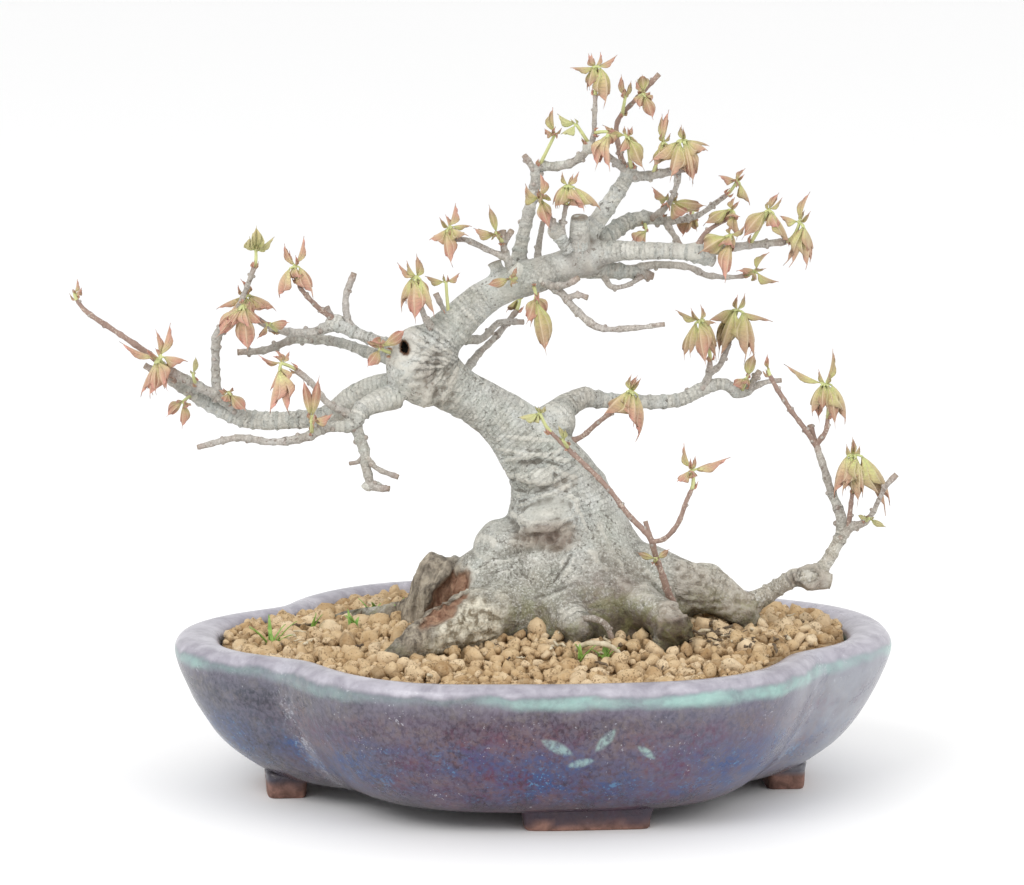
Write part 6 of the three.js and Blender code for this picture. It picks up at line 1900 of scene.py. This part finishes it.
def bark_material():
    """Grey bark, darker low on the trunk: fine lines round or along the limbs, dark cracks, pale and
    brown specks; brown gnarls, stains and shoots; painted shade in sunk places and painted highlight on
    raised ones; dead wood that is red-brown in its hollow, with painted shade deep in it; a pale crust;
    dampness and mossy green near the ground, with painted contact shade just over the soil. Cracks,
    hairlines and ridges follow the lines."""
    material, n, shader = new_material("bark")
    place = n.place()
    parts = n.split(place)
    height = parts["Z"]
    relief, dead, hollow, crust = n.value("relief"), n.value("dead"), n.value("hollow"), n.value("crust")
    young, moss, stain, gnarled = n.value("young"), n.value("moss"), n.value("stain"), n.value("gnarled")
    ringed, lined = n.value("ringed"), n.value("lined")

    reach, across = n.times(n.value("reach"), MM), n.times(n.value("across"), MM)
    sway = n.times(n.noise(place, 220.0, 2.0), 0.006)
    round_at = n.join(n.math("ADD", reach, sway), n.times(across, 0.34), sway)
    along_at = n.join(n.math("ADD", across, sway), n.times(reach, 0.12), sway)
    round_it, along_it = n.noise(round_at, 620.0, 4.0, 0.62), n.noise(along_at, 620.0, 4.0, 0.62)
    lines = n.blend(lined, 0.5, n.blend(ringed, along_it, round_it))
    worn = n.mottled(place, 130.0, 4.0)
    cracks = n.times(n.step(lines, 0.47, 0.33), n.line(worn, 0.7, 0.3))
    hairlines = n.times(n.step(n.gap(lines, 0.52), 0.022, 0.004), n.times(worn, lined))

    clouds = n.mottled(place, 90.0, 3.2)
    upper = n.mix(clouds, 0xB3B6B0, 0xD8DCD9)
    lower = n.mix(clouds, 0x7D7D75, 0xA3A39B)
    low = n.step(height, 0.105, 0.05)
    low_limb = n.times(n.step(parts["X"], 0.052, 0.066), n.step(height, 0.085, 0.07))
    fine = n.noise(place, 1500.0, 4.0, 0.7)
    spotted = n.line(low, 0.35, 0.4)
    brown = n.mottled(n.scaled(place, 1.0, 1.0, 0.6), 160.0, 4.0)
    earthy = n.mottled(place, 260.0, 4.0)
    rind = n.mix(n.noise(place, 700.0, 5.0, 0.75, 0.8), 0x786B5F, 0xD0C2B0)
    shoot = n.mix(n.noise(n.scaled(place, 1.0, 1.0, 0.5), 700.0), 0x735850, 0xAF9384)
    pored_shoot = n.layers(shoot, (0xC9B8A8, n.speckled(place, 1500.0, 0.6), 0.7))
    crumbs = n.mix(n.mottled(place, 380.0, 6.0), 0x8A7E68, 0xE9E2CF)
    fibres = n.scaled(place, 1.0, 1.0, 0.3)
    deadwood = n.mix(n.mottled(fibres, 420.0, 4.0), 0x5C5145, 0xB8AC99)
    heartwood = n.mix(n.mottled(fibres, 380.0, 3.0), 0x7A5643, 0xB5937A)
    base = n.layers(
        n.mix(n.step(height, 0.092, 0.05), upper, lower),
        (0xD6CCBB, low_limb, 0.7),
        # Green and warm tinges, lichen
        (0x9DA08A, n.mottled(place, 55.0, 4.0), 0.3),
        (0xA89484, n.mottled(n.scaled(place, 1.3, 1.0, 1.0), 75.0, 4.0), 0.22),
        (0x8A8982, n.mottled(place, 230.0, 5.0), n.line(low, 0.1, 0.16)),
        # Pale and dark specks
        (0xE6E5E0, n.step(fine, 0.5, 0.66), spotted),
        (0x757269, n.step(fine, 0.48, 0.34), spotted),
        # Cracks, the ridges between them, hairlines
        (0x625D53, cracks, 0.72),
        (0xE0DED6, n.step(lines, 0.55, 0.72), 0.5),
        (0x58534A, hairlines, n.line(ringed, -0.35, 0.85)),
        (0x5F5A52, n.speckled(place, 900.0, 0.64), 0.7),
        # Smooth scars; painted shade in sunk places and painted highlight on raised places
        (0xB9B8AF, n.value("flat"), 0.5),
        (0x5F5A50, n.step(relief, 0.46, 0.0), 0.75),
        (0xDAD7CC, n.step(relief, 0.56, 0.85), 0.5),
        (rind, gnarled, 0.6),
        # Brown stains, nearly black where they are strong
        (0x7D6A60, stain, n.line(brown, 0.5, 0.15)),
        (0x433A31, n.step(stain, 1.0, 1.8), n.line(brown, 0.5, 0.4)),
        (pored_shoot, young, 0.9),
        # Dampness and mossy green near the ground, and painted contact shade just over the soil
        (0x756850, moss, n.mottled(place, 210.0, 5.0), 0.6),
        (0x83854F, moss, n.mottled(n.scaled(place, 1.0, 1.4, 1.0), 330.0, 8.0), 0.5),
        # Painted contact shade, mottled, just over the soil
        (0x4A4032, n.step(moss, 0.7, 1.0), n.line(earthy, 0.6, 0.25)),
        (crumbs, crust, 0.9),
        (deadwood, dead, 0.9),
        (heartwood, hollow, 0.9),
        # Painted shade deep in the hollow, and the cut ends
        (0x2A2723, n.step(hollow, 1.4, 1.75)),
        (0x9C8C79, n.value("cut"), 0.6),
    )

    smooth = n.line(young, -0.7, 1.0)
    rugged = n.noise(place, 420.0, 4.0, 0.65, 0.5)
    rugged_at = n.largest(n.largest(gnarled, dead), n.largest(crust, moss))
    normal = n.bump(n.times(lines, smooth), 0.9, 1.6)
    normal = n.bump(n.times(rugged, rugged_at), 0.9, 2.2, normal)
    normal = n.bump(n.times(fine, smooth), 0.7, 0.35, normal)
    n.fill(shader, {"Base Color": base, "Roughness": 0.85, "Specular IOR Level": 0.3, "Normal": normal})
    return material


def glaze_material():
    """A thick glaze with a fine grain: slate on the left, mauve and wine-red in the middle, blue pools
    low on the front, painted dark reflection low on the wall, a broken turquoise line under a grey-lilac
    lip, pale rubbed notches, painted highlight on the right end, a few pale brush strokes on the front,
    and bare clay under the feet. Heights are in millimetres."""
    material, n, shader = new_material("glaze")
    place = n.place()
    parts = n.split(place)
    height = n.math("DIVIDE", parts["Z"], MM)
    climb, crease, clay = n.value("climb"), n.value("crease"), n.value("clay")

    clouds = n.mottled(n.scaled(place, 1.0, 1.0, 1.3), 62.0, 3.6)
    grain = n.mottled(n.scaled(place, 1.0, 1.0, 0.75), 820.0, 5.0)
    body = n.mix(clouds, 0x281D2D, 0x4A394B)
    slate = n.mix(clouds, 0x2E333E, 0x4D535F)
    left = n.step(parts["X"], 0.01, -0.07)
    wine = n.mottled(n.scaled(place, 1.0, 1.0, 0.8), 560.0, 5.0)
    middle = n.times(n.step(height, 40.0, 30.0), n.step(parts["X"], -0.085, -0.03))
    wine_at = n.times(n.line(n.mottled(place, 42.0, 5.0), 0.7, 0.3), middle)
    earthy = n.mottled(n.scaled(place, 1.0, 1.0, 1.4), 85.0, 7.0)
    pools = n.mottled(n.scaled(place, 0.7, 0.7, 1.6), 32.0, 6.0)
    low = n.times(n.step(height, 33.0, 21.0), n.step(height, 6.0, 14.0))
    blue_at = n.times(low, n.line(pools, 0.85, 0.15))
    spread = n.mottled(n.scaled(place, 1.0, 1.0, 1.3), 210.0, 5.0)
    blue = n.line(spread, 0.5, n.times(grain, 0.5))
    # Painted dark reflection low on the wall, gone by about 15 mm up
    foot = n.step(n.line(clouds, 5.0, height), 15.0, 7.0)
    # Painted highlight on the right end
    right = n.step(parts["X"], 0.076, 0.104)

    # The lip and the line under it waver in height
    level = n.math("ADD", height, n.times(n.math("SUBTRACT", n.noise(place, 75.0, 3.0), 0.5), 4.4))
    lilac = n.mix(clouds, 0x736C7B, 0x918E99)
    lip = n.mix(n.mottled(place, 150.0, 3.4), 0x8E8A95, 0xB3B0B9)
    turquoise = n.mix(n.noise(place, 200.0), 0x83ABA4, 0xA9CCC3)
    wide = n.step(n.noise(place, 17.0, 1.0), 0.35, 0.65)
    lower_edge = n.line(wide, -2.2, 41.2)
    faint = n.times(n.step(parts["X"], -0.075, -0.055), n.step(parts["X"], 0.01, -0.02))
    turquoise_at = n.times(
        n.step(n.math("SUBTRACT", level, lower_edge), -0.6, 2.0),
        n.step(level, 43.8, 42.2),
        n.step(climb, 0.72, 0.7),
        n.line(faint, -0.6, 1.0),
        n.line(n.mottled(n.scaled(place, 0.6, 0.6, 1.0), 140.0, 4.0), 0.6, 0.4),
    )
    rubbed = n.mottled(n.scaled(place, 1.0, 1.0, 0.5), 190.0, 4.0)
    flecks = n.largest(n.times(crease, n.speckled(place, 1300.0, 0.6)), n.speckled(place, 1100.0, 0.73))
    base = n.layers(
        body,
        (slate, left, 0.85),
        (0x6E7589, n.step(parts["X"], 0.015, 0.075), 0.4),
        (0x8A8494, grain, 0.3),
        # Wine-red, earthy, blue and bright blue blots
        (0x5E2740, n.line(wine, 0.65, 0.15), wine_at),
        (0x857C6E, earthy, wine, 0.28),
        (0x20457A, blue, blue_at, 0.9),
        (0x5A8FB4, n.speckled(place, 1000.0, 0.61), blue_at, spread, 0.65),
        # Painted dark reflection low on the wall
        (0x2C2530, foot, 0.75),
        # Painted highlight on the right end
        (0xABB0B6, right, n.line(clouds, 0.35, 0.35)),
        (lilac, n.step(level, 35.0, 42.0), 0.4),
        (lip, n.step(level, 42.4, 44.2)),
        (turquoise, turquoise_at, n.line(wide, 0.6, 0.25)),
        (0xA3A5AE, crease, rubbed, 0.45),
        (0xC0C1C8, flecks, 0.45),
    )

    front = n.step(parts["Y"], -0.04, -0.06)
    thin = n.line(wine, 0.45, 0.2)
    for x, z, turn, size in STROKES:
        drawn = n.node("ShaderNodeMapping", {
            "Vector": place,
            "Location": (POT_CENTRE[0] + x * MM, 0.0, z * MM),
            "Rotation": (0.0, turn, 0.0),
            "Scale": (size * MM, 1.0, size * MM),
        }, vector_type="TEXTURE").outputs["Vector"]
        base = n.layers(base, (0x9CBDB8, n.group(stroke_shape, Vector=drawn), front, thin))
    terracotta = n.mix(n.mottled(place, 300.0, 3.0), 0x5E443B, 0x967164)

    ripple = n.bump(n.noise(place, 130.0, 2.0), 0.4, 0.8)
    pits = n.math("SUBTRACT", 1.0, n.speckled(place, 1300.0, 0.6))
    n.fill(shader, {
        "Base Color": n.layers(base, (terracotta, clay)),
        "Roughness": n.line(clay, 0.5, n.line(clouds, 0.12, 0.24)),
        "Coat Weight": n.line(clay, -0.2, 0.2),
        "Specular IOR Level": 0.4,
        "Coat Roughness": 0.14,
        "Normal": n.bump(pits, 0.35, 0.15, ripple),
    })
    return material


def grit_material():
    """Fired clay grains: tan to ochre from grain to grain, dusty, stained and porous. The bed under them
    takes the darkest tone, as painted shade between the grains.
    """
    material, n, shader = new_material("fired_clay_grains")
    place = n.place()
    # The first stop is the bed's painted shade between the grains, and the own tone of a few dark grains
    tan = n.ramp(n.value("tint"), (0.0, 0x866A48), (0.08, 0xB0916A), (0.35, 0xC7AB82), (0.7, 0xD7BD97),
                 (1.0, 0xE6D2B2))
    base = n.layers(
        tan,
        (0xE0CCAA, n.mottled(place, 420.0, 3.4), 0.45),
        (0x9A7142, n.mottled(place, 260.0, 4.0), 0.25),
        (0x70563A, n.speckled(place, 1500.0, 0.6), 0.6),
    )
    normal = n.bump(n.noise(place, 700.0, 5.0, 0.7), 0.8, 0.8)
    n.fill(shader, {"Base Color": base, "Roughness": 0.95, "Specular IOR Level": 0.15, "Normal": normal})
    return material


def leaf_material():
    """Young leaves: yellow-green at the base, bronze over the blade and pink-red at the tips, each leaf
    in its own shade, with paler veins; green stalks."""
    material, n, shader = new_material("young_leaf")
    place = n.place()
    blush, green, tint, vein = n.value("blush"), n.value("green"), n.value("tint"), n.value("vein")
    along = n.math("ADD", blush, n.times(n.math("SUBTRACT", n.noise(place, 260.0), 0.5), 0.36))
    bronze = n.ramp(along, (0.0, 0xD4DC94), (0.18, 0xD2C492), (0.4, 0xC69C84), (0.7, 0xC88F82),
                    (1.0, 0xE89C94))
    olive = n.ramp(along, (0.0, 0xCAD88A), (0.3, 0xC2BE80), (0.62, 0xAD9A79), (0.88, 0xB98778),
                   (1.0, 0xE8988F))
    dark = n.mottled(place, 360.0, 3.4)
    shaded = n.mix(blush, 0x9C8458, 0x9A685B)
    edge = n.times(n.step(n.value("rim"), 0.7, 1.0), vein)
    stalk_green = n.mix(n.noise(place, 300.0), 0xB7C080, 0xD2D69C)

    # Veins: the midrib, one down the middle of each side lobe, and slanting ones across
    uv = n.split(n.surface_uv())
    off = n.math("ABSOLUTE", n.line(uv["X"], 2.0, -1.0))
    main = n.step(off, 0.085, 0.02)
    lobe = n.step(n.gap(off, 0.5), 0.07, 0.02)
    slant = n.math("FRACT", n.line(uv["Y"], 8.0, n.times(off, -2.4)))
    cross = n.times(n.step(n.gap(slant, 0.5), 0.14, 0.03), 0.5)
    veins = n.times(n.largest(n.largest(main, lobe), cross), vein)
    base = n.layers(
        n.mix(n.step(tint, 0.35, 0.8), bronze, olive),
        (shaded, dark, 0.44),
        (0xC08272, edge, 0.45),
        (0xDDBD96, n.step(off, 0.3, 0.02), vein, 0.3),
        (0xE9D8BA, veins, 0.34),
        (stalk_green, green),
    )
    normal = n.bump(n.line(dark, 0.6, veins), 0.7, 0.45)
    n.fill(shader, {"Base Color": base, "Roughness": 0.55, "Normal": normal})
    return material


def plain_material(name, tones, rough, scale, depth):
    """One matter in two tones clouded together, with fine bumps."""
    material, n, shader = new_material(name)
    place = n.place()
    base = n.mix(n.mottled(place, scale, 3.0), *tones)
    normal = n.bump(n.noise(place, scale * 3), 0.4, depth)
    n.fill(shader, {"Base Color": base, "Roughness": rough, "Normal": normal})
    return material


def litter_material():
    """Old bark and roots: dark slivers and pale ones."""
    material, n, shader = new_material("litter")
    place = n.place()
    clouds = n.mottled(place, 400.0, 3.0)
    dark = n.mix(clouds, 0x4A3D30, 0x7B6A55)
    pale = n.mix(clouds, 0xAFA083, 0xD8CDB4)
    base = n.mix(n.value("pale"), dark, pale)
    normal = n.bump(n.noise(place, 900.0), 0.5, 0.2)
    n.fill(shader, {"Base Color": base, "Roughness": 0.85, "Normal": normal})
    return material


# Stage

def make_stage():
    """A pale floor, a white sky, two soft lights, of which the stronger is at the front left, and a
    camera at the front view's eye."""
    bpy.ops.mesh.primitive_plane_add(size=8, location=(0, 0, 0))
    floor = bpy.context.object
    floor.name = "floor"
    material, n, shader = new_material("floor_paper")
    n.fill(shader, {"Base Color": colour(0xFAFAFA), "Roughness": 0.7})
    floor.data.materials.append(material)

    world = bpy.data.worlds.new("white_room")
    world.use_nodes = True
    sky = Nodes(world.node_tree)
    sky.fill(world.node_tree.nodes["Background"], {"Color": colour(0xFFFFFF), "Strength": SKY_STRENGTH})
    bpy.context.scene.world = world
    bpy.context.scene.view_settings.view_transform = "Standard"

    for name, place, aim, size, power in LIGHTS:
        data = bpy.data.lights.new(name, "AREA")
        data.shape = "RECTANGLE"
        data.size, data.size_y = size
        data.energy = power
        light = bpy.data.objects.new(name, data)
        light.location = place
        heading = Vector(aim) - Vector(place)
        light.rotation_euler = heading.to_track_quat("-Z", "Y").to_euler()
        bpy.context.scene.collection.objects.link(light)

    data = bpy.data.cameras.new("camera")
    data.lens = CAMERA_LENS
    data.sensor_width = 36
    data.clip_end = 20
    camera = bpy.data.objects.new("camera", data)
    camera.location = np.array(CAMERA_PLACE) * MM + POT_CENTRE
    camera.rotation_euler = (math.pi / 2 - CAMERA_PITCH, 0, 0)
    bpy.context.scene.collection.objects.link(camera)
    bpy.context.scene.camera = camera


make_stage()
mottle = mottle_group()
speckles = speckle_group()
stroke_shape = stroke_group()
bark = bark_material()
glaze = glaze_material()
grit = grit_material()
leaf_skin = leaf_material()
grass_skin = plain_material("grass", (0x6E9A3E, 0x9DBB62), 0.5, 500.0, 0.1)
litter_skin = litter_material()
screen_plastic = plain_material("screen_plastic", (0x26292D, 0x33373B), 0.6, 300.0, 0.1)

make_pot()
make_soil()
make_wood()
for number, name in enumerate(SPRAYS):
    make_spray(name, number)
for name in TUFTS:
    make_tuft(name)
make_weeds()
make_litter()
for name in ("drain_screen_left", "drain_screen_right"):
    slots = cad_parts[name].data.materials
    slots.clear()
    slots.append(screen_plastic)
